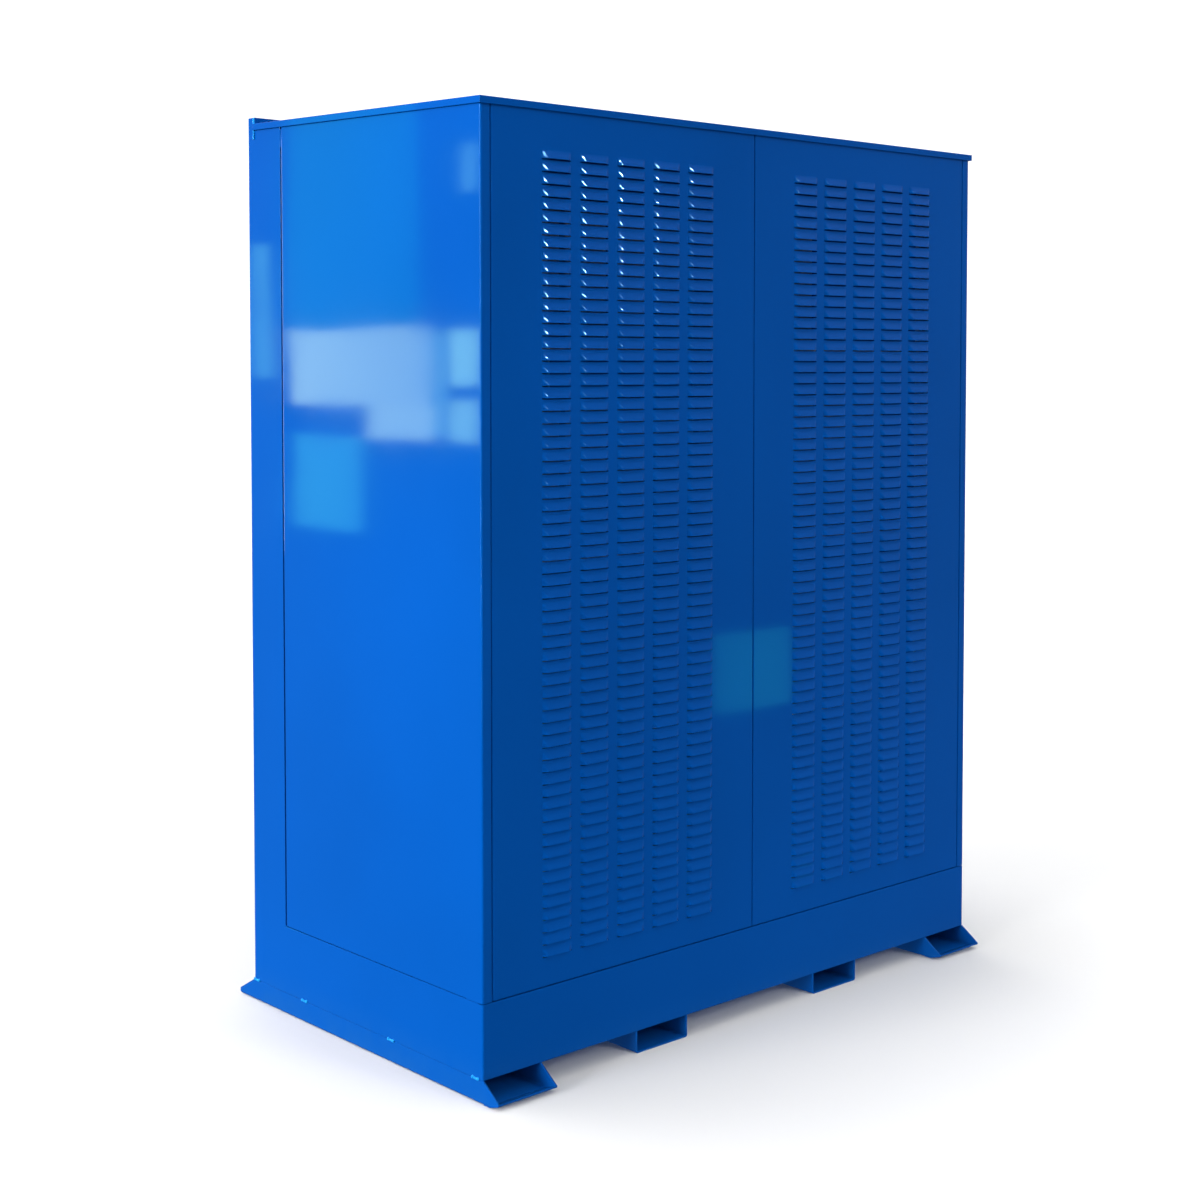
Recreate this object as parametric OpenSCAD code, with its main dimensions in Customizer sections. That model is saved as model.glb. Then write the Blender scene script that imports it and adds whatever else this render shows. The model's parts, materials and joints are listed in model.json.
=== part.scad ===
// Outdoor battery cabinet on four steel skids: welded carcass, falling roof, two louvred
// rear panels, two hinged doors with rod locks, and a four-tier battery rack inside.
// Millimetres, +Z up, louvred face towards -Y, doors towards +Y.

/* [Cabinet] */
// Width across the side sheets
cabinet_w = 1600; // [1500:10:1700]
// Depth from the louvred face to the door face
cabinet_d = 870; // [840:5:950]
// Height from the underside of the base to the roof at the louvred face
body_h = 2000; // [1900:10:2200]
// Height of the base band all round
band_h = 157; // [120:1:180]
// Width of the carcass post seen on each side, next to the doors
side_post_w = 137; // [100:1:170]
// Bend radius of the vertical outer corners
corner_r = 4; // [3:0.5:8]

/* [Sheet metal] */
// Thickness of the welded carcass sheet
frame_sheet = 3; // [2:0.5:4]
// Thickness of side, rear, roof and door sheets
panel_sheet = 1.5; // [1:0.1:2]
// Depth of the folded returns of the rear panels
panel_return = 18; // [14:1:24]
// Width of the side sheet's return on the louvred face
corner_strip_w = 25; // [18:1:35]
// Open seam between neighbouring outer sheets
seam_gap = 2; // [1:0.1:3]
// Leg of the rear corner posts and the top rails
rail_leg = 40; // [30:1:50]
// Width of the post behind the seam of the rear panels
rear_mullion_w = 60; // [40:1:90]

/* [Roof] */
// Rise of the roof from the louvred face to the header
roof_rise = 22; // [10:1:35]
// Overhang of the roof flange past the sides and the louvred face
roof_overhang = 6; // [4:0.5:10]
// Height of the roof flange
roof_flange = 15; // [10:1:22]
// Height of the header above the roof
header_upstand = 15; // [8:1:25]
// Depth of the header from front to back
header_d = 28; // [22:1:32]
// Height of the header over the doors
header_h = 97; // [80:1:110]

/* [Skids] */
// Height of the skids
skid_h = 50; // [45:1:80]
// Width of each skid
skid_w = 158; // [140:1:180]
// Plate thickness of the skids
skid_plate = 4; // [3:0.5:6]
// Distance from the cabinet's side to an inner skid
skid_inset = 430; // [380:5:470]
// Reach of the turned-up toe past the louvred face
toe_out = 50; // [35:1:70]
// Where the flat sole of an outer skid starts, past the louvred face
toe_flat = 18; // [8:1:28]
// Height of the toe's tip
toe_rise = 15; // [12:0.5:22]
// Reach of an outer skid past the door face
heel_out = 64; // [60:1:80]
// Height of the square end of an outer skid
heel_rise = 14; // [10:1:25]
// Outer bend radius of the skid channels
skid_bend = 7; // [6.5:0.5:10]

/* [Louvres] */
// Length of one louvre
louvre_len = 80; // [60:1:90]
// Distance from one louvre column to the next
louvre_col_pitch = 106; // [98:1:120]
// Distance from one louvre row to the next
louvre_row_pitch = 26; // [24:0.5:32]
// How far a louvre stands out of the sheet
louvre_out = 7; // [5:0.5:9]
// Height of one louvre's hood
louvre_hood = 18; // [14:0.5:20]
// Length of the drawn end of a hood
louvre_end = 12; // [6:0.5:16]
// Height of the open slot under a hood's lip
louvre_gap = 2.5; // [1:0.5:4]
// Distance from the roof line down to the first slot
louvre_top = 114; // [90:1:160]
// Distance from the base band up to the last slot
louvre_bottom = 66; // [40:1:120]
// Least distance from a column to the edge of its panel
louvre_side = 130; // [80:1:150]

/* [Doors] */
// Width of the carcass face beside each door
jamb_w = 60; // [50:1:80]
// Depth of a door from its outer face to its back
door_t = 25; // [20:1:30]
// Gap between a door and the frame round it
door_gap = 3; // [2:0.5:5]
// Width of the stop flange behind the door's edge
stop_w = 28; // [22:1:35]
// Distance from the door's back to the stop flange
stop_set = 10; // [8:0.5:12]
// Width of the door seal
seal_w = 12; // [8:1:14]
// Width of the post between the doors
mullion_w = 64; // [56:1:80]
// Depth of the post between the doors
mullion_d = 30; // [20:1:40]

/* [Hinges] */
// Radius of the hinge knuckles
knuckle_r = 8; // [7:0.5:9]
// Radius of the hinge pins
hinge_pin_r = 5; // [4:0.25:5.5]
// Height of one hinge
hinge_h = 100; // [80:2:130]
// Length of each hinge leaf
leaf_w = 34; // [28:1:45]
// Thickness of the hinge leaves
leaf_t = 3; // [2:0.5:4]
// Distance of the outer hinges from the door's ends
hinge_inset = 160; // [120:5:220]

/* [Locks] */
// Distance of each handle from the seam between the doors
handle_x = 74; // [66:1:90]
// Height of the handles above the base band
handle_z = 880; // [800:10:960]
// Length of the handle's lever
lever_len = 125; // [100:1:150]
// Radius of the handle's spindle
spindle_r = 8; // [7:0.25:9]
// Radius of the lock rods
rod_r = 6; // [5:0.25:7]
// Distance from a keeper's foot to the edge of its rod hole
rod_set = 3; // [2:0.5:6]
// Travel of the lock rods
rod_travel = 20; // [15:1:24]
// Thickness of the keeper plates
keeper_t = 5; // [4:0.5:8]

/* [Rack] */
// Gap between the side sheets and the rack
rack_side = 66; // [60:1:90]
// Gap between the door face and the rack
rack_front = 96; // [92:1:120]
// Gap between the louvred face and the rack
rack_rear = 75; // [64:1:90]
// Leg of the rack's angle posts
rack_leg = 40; // [30:1:50]
// Thickness of the rack's posts and shelves
rack_t = 2.5; // [2:0.25:4]
// Height of the first shelf above the floor
first_shelf = 180; // [170:5:220]
// Depth of a shelf's turned-down lip
shelf_lip = 30; // [20:1:40]
// Height of the hold-down bars
bar_h = 30; // [20:1:40]

/* [Batteries] */
// Height of a battery block
block_h = 316; // [260:1:330]
// Depth of a battery block
block_d = 558; // [480:1:580]
// Width of a battery block
block_w = 125; // [105:1:135]
// Air gap between battery blocks
block_gap = 15; // [8:1:20]
// Height of a battery block's lid
block_lid = 34; // [24:1:44]
// Radius of a battery terminal
terminal_r = 9; // [6:0.5:11]

/* [Cable entry] */
// Width of the gland plate
gland_w = 340; // [300:5:380]
// Depth of the gland plate
gland_d = 160; // [140:5:180]
// Radius of each cable entry
entry_r = 25.25; // [16:0.25:30]
// Distance between the cable entries
entry_pitch = 140; // [120:5:160]
// Radius of the earth stud
earth_r = 4; // [3:0.25:6]
// Free length of the earth stud
earth_len = 20; // [15:1:25]

/* [Clearances] */
// Radial running clearance of hinge pins, spindles and rods
run_gap = 0.06; // [0.03:0.01:0.09]
// Gap between the doors' seals and the doors
seal_gap = 0.4; // [0.3:0.1:0.8]
// Gap between the isolator's knob and its box
knob_gap = 0.5; // [0.3:0.1:1]
// Gap between the two knuckles of a hinge
knuckle_gap = 0.5; // [0.3:0.1:1]
// Radial clearance of a screw in its hole
screw_gap = 0.25; // [0.1:0.05:0.5]
// Radial clearance of a rod in its keeper
keeper_gap = 1.5; // [1:0.1:2]
// Gap between the roof's end and the header
roof_joint = 0.3; // [0.2:0.1:0.8]
// Gap between the roof's underside and the frame it lies on
roof_seat = 0.05; // [0.02:0.01:0.1]

/* [Hidden] */
$fn = 48;

blue = [0.02, 0.25, 0.66];
zinc = [0.72, 0.74, 0.76];
black = [0.06, 0.06, 0.07];
copper = [0.78, 0.45, 0.28];

x_out = cabinet_w / 2;
y_rear = toe_out - (cabinet_d + toe_out + heel_out) / 2;
y_door = y_rear + cabinet_d;
z_base = skid_h;
z_band = z_base + band_h;
z_roof = z_base + body_h;
z_ridge = z_roof + roof_rise;
z_header = z_ridge + header_upstand;
z_lintel = z_header - header_h;
y_butt = y_door - header_d;
roof_edge_y = y_rear - roof_overhang;
roof_slope = atan(roof_rise / (y_butt - roof_edge_y));
roof_run = (y_butt - roof_joint - roof_edge_y) / cos(roof_slope);

x_jamb = x_out - jamb_w;
y_back = y_door - door_t;
y_stop = y_back - stop_set;
z_floor = z_base + frame_sheet;
z_sill = z_band;
gland_edge = 20;
gland_y = y_rear + rack_rear + rack_leg + 30;
gland_screw_r = 2.5;
gland_screw_head = 3;

module along_x(x0, x1) {
    translate([x0, 0, 0]) rotate([90, 0, 90]) linear_extrude(x1 - x0) children();
}

module along_y(y0, y1) {
    translate([0, y1, 0]) rotate([90, 0, 0]) linear_extrude(y1 - y0) children();
}

module along_z(z0, z1) {
    translate([0, 0, z0]) linear_extrude(z1 - z0) children();
}

module block(low, high) {
    translate(low) cube(high - low);
}

module rounded(low, high, r) {
    w = high.x - low.x;
    h = high.y - low.y;
    translate([low.x + r, low.y]) square([w - 2 * r, h]);
    translate([low.x, low.y + r]) square([w, h - 2 * r]);
    for (x = [low.x + r, high.x - r], y = [low.y + r, high.y - r])
        translate([x, y]) circle(r);
}

module both_sides() {
    children();
    mirror([1, 0, 0]) children();
}

// Everything above the underside of the roof sheet, behind the header.
module above_roof() {
    reach = 200;
    translate([0, roof_edge_y, z_roof]) rotate([roof_slope, 0, 0])
        translate([-cabinet_w, -reach, -panel_sheet - roof_seat])
            cube([2 * cabinet_w, roof_run + reach, reach]);
}

// ---- Carcass ----

// Side sheet of the carcass: base band, door post and the header's end in one piece.
module side_sheet() {
    along_x(-x_out, -x_out + frame_sheet) polygon([
        [y_rear, z_base], [y_door, z_base], [y_door, z_header], [y_butt, z_header],
        [y_door - side_post_w, z_header], [y_door - side_post_w, z_band], [y_rear, z_band]]);
}

// Plan of the left door post: face, jamb, stop flange and the return at the side seam.
module door_post_plan() {
    translate([-x_out, y_door - frame_sheet]) square([jamb_w, frame_sheet]);
    translate([-x_jamb - frame_sheet, y_stop]) square([frame_sheet, y_door - y_stop]);
    translate([-x_jamb - frame_sheet, y_stop - frame_sheet]) square([frame_sheet + stop_w, frame_sheet]);
    translate([-x_out, y_door - side_post_w]) square([jamb_w / 2, frame_sheet]);
}

// Section of the header: closed box with the upper stop flange.
module header_section() {
    difference() {
        translate([y_butt, z_lintel]) square([header_d, header_h]);
        translate([y_butt + frame_sheet, z_lintel + frame_sheet])
            square([header_d - 2 * frame_sheet, header_h - 2 * frame_sheet]);
    }
    translate([y_stop - frame_sheet, z_lintel]) square([y_door - y_stop, frame_sheet]);
    translate([y_stop - frame_sheet, z_lintel - stop_w]) square([frame_sheet, stop_w + frame_sheet]);
}

// Section of the door-side base band with the lower stop flange.
module sill_section() {
    translate([y_door - frame_sheet, z_base]) square([frame_sheet, band_h]);
    translate([y_stop - frame_sheet, z_sill - frame_sheet])
        square([y_door - y_stop + frame_sheet, frame_sheet]);
    translate([y_stop - frame_sheet, z_sill - frame_sheet]) square([frame_sheet, stop_w + frame_sheet]);
}

// Section of the louvred side's base band with its inner flange.
module rear_band_section() {
    translate([y_rear, z_base]) square([frame_sheet, band_h]);
    translate([y_rear, z_band - frame_sheet]) square([panel_return + rail_leg, frame_sheet]);
}

module corner_post_plan() {
    translate([-x_out + panel_sheet, y_rear + panel_return]) square([rail_leg, frame_sheet]);
    translate([-x_out + panel_sheet, y_rear + panel_return]) square([frame_sheet, rail_leg]);
}

module top_rail_section() {
    translate([y_rear + panel_return, z_roof - rail_leg]) square([frame_sheet, rail_leg]);
    translate([y_rear + panel_return, z_roof - rail_leg]) square([rail_leg, frame_sheet]);
}

module carcass() {
    color(blue) difference() {
        intersection() {
            union() {
                both_sides() {
                    side_sheet();
                    along_z(z_floor, z_header) door_post_plan();
                    along_z(z_floor, z_roof + roof_rise) corner_post_plan();
                    along_y(y_rear + panel_return, y_butt) {
                        translate([-x_out + panel_sheet, z_roof - rail_leg]) square([rail_leg, frame_sheet]);
                        translate([-x_out + panel_sheet, z_roof - rail_leg]) square([frame_sheet, rail_leg]);
                    }
                    along_y(y_rear, y_door) translate([-x_out, z_band - frame_sheet])
                        square([rail_leg, frame_sheet]);
                }
                along_x(-x_out, x_out) header_section();
                along_x(-x_out, x_out) sill_section();
                along_x(-x_out, x_out) rear_band_section();
                along_x(-x_out + panel_sheet, x_out - panel_sheet) top_rail_section();
            }
            along_z(z_base, z_header) rounded([-x_out, y_rear], [x_out, y_door], corner_r);
        }
        intersection() {
            above_roof();
            block([-cabinet_w, y_rear - 1, z_base], [cabinet_w, y_butt, z_header + 1]);
        }
    }
}

module floor_plate() {
    color(blue) difference() {
        block([-x_out + frame_sheet, y_rear + frame_sheet, z_base],
            [x_out - frame_sheet, y_door - frame_sheet, z_floor]);
        block([-gland_w / 2 + gland_edge, gland_y + gland_edge, z_base - 1],
            [gland_w / 2 - gland_edge, gland_y + gland_d - gland_edge, z_floor + 1]);
    }
}

// Puts a child at each corner of the gland plate's screw pattern.
module at_gland_screws() {
    x_screw = (gland_w - gland_edge) / 2;
    y_screw = (gland_d - gland_edge) / 2;
    for (x = [-x_screw, x_screw], y = [-y_screw, y_screw])
        translate([x, gland_y + gland_d / 2 + y, z_floor]) children();
}

module gland_plate() {
    color(zinc) difference() {
        along_z(z_floor, z_floor + frame_sheet)
            rounded([-gland_w / 2, gland_y], [gland_w / 2, gland_y + gland_d], 6);
        for (side = [-1, 1])
            translate([side * entry_pitch / 2, gland_y + gland_d / 2, z_base])
                cylinder(r = entry_r, h = band_h);
        at_gland_screws() translate([0, 0, -1]) cylinder(r = gland_screw_r + screw_gap, h = frame_sheet + 2);
    }
}

module gland_screws() {
    color(zinc) at_gland_screws() {
        cylinder(r = gland_screw_r, h = frame_sheet + gland_screw_head / 2);
        translate([0, 0, frame_sheet])
            cylinder(r1 = 2 * gland_screw_r, r2 = 1.4 * gland_screw_r, h = gland_screw_head);
    }
}

module earth_stud() {
    boss_t = 5;
    color(copper) translate([x_out - jamb_w, y_door, z_base + band_h / 2]) rotate([-90, 0, 0]) {
        cylinder(r = earth_r * 2.4, h = boss_t);
        cylinder(r = earth_r, h = boss_t + earth_len);
    }
}

// ---- Skids ----

module channel_section(x0) {
    difference() {
        union() {
            rounded([x0, 0], [x0 + skid_w, skid_h], skid_bend);
            translate([x0, skid_h / 2]) square([skid_w, skid_h / 2]);
        }
        rounded([x0 + skid_plate, skid_plate], [x0 + skid_w - skid_plate, 2 * skid_h],
            skid_bend - skid_plate);
    }
}

module inner_skid(x0) {
    color(blue) along_y(y_rear, y_door) channel_section(x0);
}

module outer_skid(x0) {
    tip_y = y_rear - toe_out;
    tip_z = toe_rise - skid_plate * 1.1;
    color(blue) {
        intersection() {
            along_y(tip_y, y_door + heel_out) channel_section(x0);
            along_x(x0, x0 + skid_w) polygon([
                [y_rear, z_base], [tip_y, toe_rise], [tip_y, tip_z], [y_rear - toe_flat, 0],
                [y_door + heel_out, 0], [y_door + heel_out, heel_rise], [y_door, z_base]]);
        }
        along_x(x0 + skid_plate / 2, x0 + skid_w - skid_plate / 2) polygon([
            [tip_y, toe_rise], [tip_y, tip_z], [y_rear - toe_flat, 0],
            [y_rear, 0], [y_rear, skid_plate], [y_rear - toe_flat, skid_plate]]);
    }
}

// ---- Outer sheets ----

// Plan of the left side panel: return on the louvred face, bent corner, side and seam return.
module side_panel_plan() {
    y_seam = y_door - side_post_w - seam_gap;
    difference() {
        union() {
            translate([-x_out, y_rear + corner_r]) square([panel_sheet, y_seam - y_rear - corner_r]);
            translate([-x_out + corner_r, y_rear]) square([corner_strip_w - corner_r, panel_sheet]);
            intersection() {
                translate([-x_out + corner_r, y_rear + corner_r]) circle(corner_r);
                translate([-x_out, y_rear]) square(corner_r);
            }
            translate([-x_out + corner_strip_w - panel_sheet, y_rear])
                square([panel_sheet, panel_return - frame_sheet]);
            translate([-x_out, y_seam - panel_sheet]) square([panel_return, panel_sheet]);
        }
        translate([-x_out + corner_r, y_rear + corner_r]) circle(corner_r - panel_sheet);
    }
}

// Side panel; its seam return is notched where the top rail passes.
module side_panel() {
    color(blue) difference() {
        along_z(z_band + seam_gap, z_ridge) side_panel_plan();
        above_roof();
        block([-x_out + panel_sheet, 0, z_roof - rail_leg - 1], [0, y_door, z_header]);
    }
}

module roof() {
    edge_r = 2;
    cap_w = cabinet_w + 2 * roof_overhang;
    color(blue) translate([0, roof_edge_y, z_roof]) rotate([roof_slope, 0, 0]) difference() {
        intersection() {
            along_x(-cap_w / 2, cap_w / 2) {
                translate([edge_r, -roof_flange]) square([roof_run - edge_r, roof_flange]);
                translate([0, -roof_flange]) square([roof_run, roof_flange - edge_r]);
                translate([edge_r, -edge_r]) circle(edge_r);
            }
            along_y(0, roof_run) {
                translate([-cap_w / 2 + edge_r, -roof_flange]) square([cap_w - 2 * edge_r, roof_flange]);
                translate([-cap_w / 2, -roof_flange]) square([cap_w, roof_flange - edge_r]);
                for (side = [-1, 1])
                    translate([side * (cap_w / 2 - edge_r), -edge_r]) circle(edge_r);
            }
        }
        block([-cap_w / 2 + panel_sheet, panel_sheet, -roof_flange - 1],
            [cap_w / 2 - panel_sheet, roof_run + 1, -panel_sheet]);
    }
}

rear_panel_w = x_out - corner_strip_w - 1.5 * seam_gap;
rear_panel_z0 = z_band + seam_gap;
rear_panel_z1 = z_roof - panel_sheet - 4;
louvre_z0 = z_band + louvre_bottom;
louvre_rows = floor((z_roof - louvre_top - louvre_z0) / louvre_row_pitch + 0.5) + 1;
louvre_cols = floor((rear_panel_w - 2 * louvre_side - louvre_len) / louvre_col_pitch + 0.5) + 1;
louvre_block_w = (louvre_cols - 1) * louvre_col_pitch + louvre_len;
louvre_lip = 3;

// Section of every hood row, seen along X. cut draws the section in for the hollow side.
module hood_rows(cut) {
    y_lip = y_rear - louvre_out + cut;
    y_foot = y_rear + (cut > 0 ? 2 * cut : panel_sheet / 2);
    below = cut > 0 ? louvre_gap : 0;
    above = cut > 0 ? 1 : 0;
    for (k = [0 : louvre_rows - 1]) {
        z = louvre_z0 + k * louvre_row_pitch;
        z_top = z + louvre_hood - above;
        knee = cut > 0 ? [] : [[y_rear - louvre_out * 0.42, z + louvre_hood * 0.62]];
        polygon(concat([[y_foot, z - below], [y_lip, z - below], [y_lip, z + louvre_lip]],
            knee, [[y_rear + cut, z_top], [y_foot, z_top]]));
    }
}

// Plan of every hood column of one panel, with sloping ends.
module hood_columns(x0, cut) {
    y_lip = y_rear - louvre_out + cut;
    y_foot = y_rear + 2 * panel_sheet;
    for (c = [0 : louvre_cols - 1]) {
        xa = x0 + c * louvre_col_pitch + cut;
        xb = xa + louvre_len - 2 * cut;
        polygon([[xa, y_foot], [xa, y_rear], [xa + louvre_end - cut / 2, y_lip],
            [xb - louvre_end + cut / 2, y_lip], [xb, y_rear], [xb, y_foot]]);
    }
}

module rear_panel(x0) {
    x1 = x0 + rear_panel_w;
    hood_x = (x0 + x1 - louvre_block_w) / 2;
    z_low = louvre_z0 - louvre_row_pitch;
    z_high = louvre_z0 + louvre_rows * louvre_row_pitch;
    color(blue) difference() {
        union() {
            difference() {
                block([x0, y_rear, rear_panel_z0], [x1, y_rear + panel_return, rear_panel_z1]);
                block([x0 + panel_sheet, y_rear + panel_sheet, rear_panel_z0 + panel_sheet],
                    [x1 - panel_sheet, y_rear + panel_return + 1, rear_panel_z1 - panel_sheet]);
            }
            intersection() {
                along_x(x0 + 1, x1 - 1) hood_rows(0);
                along_z(z_low, z_high) hood_columns(hood_x, 0);
            }
        }
        intersection() {
            along_x(x0 + 2, x1 - 2) hood_rows(panel_sheet);
            along_z(z_low + 1, z_high - 1) hood_columns(hood_x, panel_sheet);
        }
    }
}

module rear_mullion() {
    y0 = y_rear + panel_return;
    color(blue) along_z(z_band, z_roof - rail_leg) difference() {
        rounded([-rear_mullion_w / 2, y0], [rear_mullion_w / 2, y0 + rail_leg], corner_r);
        rounded([-rear_mullion_w / 2 + frame_sheet, y0 + frame_sheet],
            [rear_mullion_w / 2 - frame_sheet, y0 + rail_leg - frame_sheet], corner_r / 2);
    }
}

// ---- Door frame parts ----

// Post between the doors, notched at both ends for the stop flanges it is welded to.
module door_mullion() {
    color(blue) difference() {
        along_z(z_sill, z_lintel) difference() {
            rounded([-mullion_w / 2, y_stop - mullion_d], [mullion_w / 2, y_stop], corner_r);
            rounded([-mullion_w / 2 + frame_sheet, y_stop - mullion_d + frame_sheet],
                [mullion_w / 2 - frame_sheet, y_stop - frame_sheet], corner_r / 2);
        }
        for (z = [z_sill - 1, z_lintel - stop_w])
            block([-mullion_w, y_stop - frame_sheet, z], [mullion_w, y_stop + 1, z + stop_w + 1]);
    }
}

module door_seals() {
    seal_x0 = x_jamb - (stop_w - seal_w) / 2;
    seal_x1 = mullion_w / 4 - seal_w / 2;
    seal_z0 = z_sill + (stop_w - seal_w) / 2;
    seal_z1 = z_lintel - (stop_w - seal_w) / 2;
    color(black) both_sides() along_y(y_stop, y_back - seal_gap) difference() {
        rounded([-seal_x0, seal_z0], [-seal_x1, seal_z1], seal_w);
        rounded([-seal_x0 + seal_w, seal_z0 + seal_w], [-seal_x1 - seal_w, seal_z1 - seal_w], 2);
    }
}

hinge_x = x_jamb - door_gap / 2;
hinge_y = y_door + knuckle_r + 0.5;
door_z0 = z_sill + door_gap;
door_z1 = z_lintel - door_gap;
hinge_levels = [door_z0 + hinge_inset, (door_z0 + door_z1) / 2, door_z1 - hinge_inset];

// Knuckle with the tangent leaf that lies on the sheet. dir is -1 for the frame's leaf.
module hinge_leaf(dir, z0, z1) {
    translate([-hinge_x, hinge_y, z0]) cylinder(r = knuckle_r, h = z1 - z0);
    block([dir > 0 ? -hinge_x : -hinge_x - leaf_w, y_door, z0],
        [dir > 0 ? -hinge_x + leaf_w : -hinge_x, y_door + leaf_t, z1]);
}

// Left frame hinges: the lower knuckle and the fixed pin.
module frame_hinges() {
    color(zinc) for (z = hinge_levels) {
        hinge_leaf(-1, z - hinge_h / 2, z - knuckle_gap / 2);
        translate([-hinge_x, hinge_y, z - hinge_h / 4])
            cylinder(r = hinge_pin_r, h = hinge_h * 0.75 + 2);
    }
}

// Left door hinges: the upper knuckle, bored for the pin.
module door_hinges() {
    color(zinc) for (z = hinge_levels) difference() {
        hinge_leaf(1, z + knuckle_gap / 2, z + hinge_h / 2);
        translate([-hinge_x, hinge_y, z]) cylinder(r = hinge_pin_r + run_gap, h = hinge_h);
    }
}

lock_x = handle_x;
lock_z = z_band + handle_z;
rod_y = y_stop - frame_sheet - keeper_t - keeper_gap - rod_r - rod_set;
keeper_top_z = z_lintel - stop_w - keeper_t - 2;
keeper_low_z = z_sill + stop_w + 2;
rod_clear = 5;
rod_point = 4;
keeper_w = 40;
case_wall = 6;
rib_set = 4;
y_rib = y_back + rib_set;
handle_gap = 0.3;

// Keeper bracket on the back of a stop flange. up is 1 at the header and -1 at the sill.
module keeper(up) {
    plate_z = up > 0 ? keeper_top_z : keeper_low_z;
    foot_z0 = up > 0 ? keeper_top_z : z_sill + 2;
    foot_z1 = up > 0 ? z_lintel - 2 : keeper_low_z + keeper_t;
    x0 = -lock_x - keeper_w / 2;
    y_foot = y_stop - frame_sheet;
    y_far = rod_y - 3 * rod_r;
    difference() {
        union() {
            block([x0, y_far, plate_z], [x0 + keeper_w, y_foot, plate_z + keeper_t]);
            block([x0, y_foot - keeper_t, foot_z0], [x0 + keeper_w, y_foot, foot_z1]);
        }
        translate([-lock_x, rod_y, plate_z - 1]) cylinder(r = rod_r + keeper_gap, h = keeper_t + 2);
    }
}

module keepers() {
    color(zinc) both_sides() {
        keeper(1);
        keeper(-1);
    }
}

// ---- Doors ----

door_x0 = x_jamb - door_gap;
door_x1 = door_gap / 2;

module door_skin() {
    color(blue) difference() {
        block([-door_x0, y_back, door_z0], [-door_x1, y_door, door_z1]);
        block([-door_x0 + panel_sheet, y_back - 1, door_z0 + panel_sheet],
            [-door_x1 - panel_sheet, y_door - panel_sheet, door_z1 - panel_sheet]);
        translate([-lock_x, y_back, lock_z]) rotate([-90, 0, 0]) cylinder(r = spindle_r + 2, h = door_t + 1);
    }
}

rib_w = 40;

// Stiffener frame on the inside of the door: two stiles and four rails.
module door_ribs() {
    x0 = -door_x0 + panel_sheet + stop_w;
    x1 = -door_x1 - panel_sheet - stop_w;
    z0 = door_z0 + panel_sheet + stop_w;
    z1 = door_z1 - panel_sheet - stop_w;
    y1 = y_door - panel_sheet;
    lock_stile_x = x1 - rib_w / 4;
    color(zinc) difference() {
        union() {
            block([x0, y_rib, z0], [x0 + rib_w, y1, z1]);
            block([x1 - 2 * rib_w, y_rib, z0], [lock_stile_x, y1, z1]);
            for (k = [0 : 3]) {
                z = z0 + k * (z1 - z0 - rib_w) / 3;
                block([x0, y_rib, z], [lock_stile_x, y1, z + rib_w]);
            }
        }
        block([x0 + rack_t, y_rib + rack_t, z0 + rack_t], [x0 + rib_w - rack_t, y1 + 1, z1 - rack_t]);
        translate([-lock_x, y_back - 1, lock_z]) rotate([-90, 0, 0])
            cylinder(r = spindle_r + 2, h = door_t + 2);
    }
}

case_w = 48;
case_h = 150;
case_y0 = rod_y - rod_r - case_wall;

// Gearbox of the rod lock, bored for the spindle and for both rods.
module lock_case() {
    color(zinc) difference() {
        along_y(case_y0, y_rib) rounded([-lock_x - case_w / 2, lock_z - case_h / 2],
            [-lock_x + case_w / 2, lock_z + case_h / 2], 6);
        translate([-lock_x, rod_y, lock_z - case_h]) cylinder(r = rod_r + run_gap, h = 2 * case_h);
        translate([-lock_x, case_y0 - 1, lock_z]) rotate([-90, 0, 0])
            cylinder(r = spindle_r + run_gap, h = y_rib - case_y0 + 2);
    }
}

plate_t = 4;

// Plate under the handle, bored for the spindle, with the recess of the key cylinder.
module escutcheon() {
    plate_w = 40;
    key_drop = 60;
    color(black) difference() {
        along_y(y_door, y_door + plate_t) rounded([-lock_x - plate_w / 2, lock_z - 95],
            [-lock_x + plate_w / 2, lock_z + plate_w], 12);
        translate([-lock_x, y_door - 1, lock_z]) rotate([-90, 0, 0])
            cylinder(r = spindle_r + run_gap, h = plate_t + 2);
        translate([-lock_x, y_door + plate_t / 2, lock_z - key_drop]) rotate([-90, 0, 0])
            cylinder(r = 7, h = plate_t);
    }
}

guide_h = 20;
guide_levels = [door_z0 + 120, door_z1 - 120];

module rod_guides() {
    guide_w = 28;
    color(zinc) for (z = guide_levels) difference() {
        along_z(z - guide_h / 2, z + guide_h / 2)
            rounded([-lock_x - guide_w / 2, rod_y - rod_r - case_wall], [-lock_x + guide_w / 2, y_rib], 3);
        translate([-lock_x, rod_y, z - guide_h]) cylinder(r = rod_r + run_gap, h = 2 * guide_h);
    }
}

// Lever handle with its spindle; side is -1 on the left door.
module handle(side) {
    hub_r = 15;
    lever_r = 11;
    lever_t = 14;
    lever_y = y_door + 26;
    color(black) {
        translate([side * lock_x, case_y0, lock_z]) rotate([-90, 0, 0])
            cylinder(r = spindle_r, h = lever_y - case_y0);
        translate([side * lock_x, y_door + plate_t + handle_gap, lock_z]) rotate([-90, 0, 0])
            cylinder(r = hub_r, h = lever_y - y_door);
        along_y(lever_y, lever_y + lever_t) {
            translate([side * lock_x, lock_z]) circle(hub_r);
            translate([side > 0 ? lock_x : -lock_x - lever_len, lock_z - lever_r])
                square([lever_len, 2 * lever_r]);
            translate([side * (lock_x + lever_len), lock_z]) circle(lever_r);
        }
    }
}

rod_start = spindle_r + 4;

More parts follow.
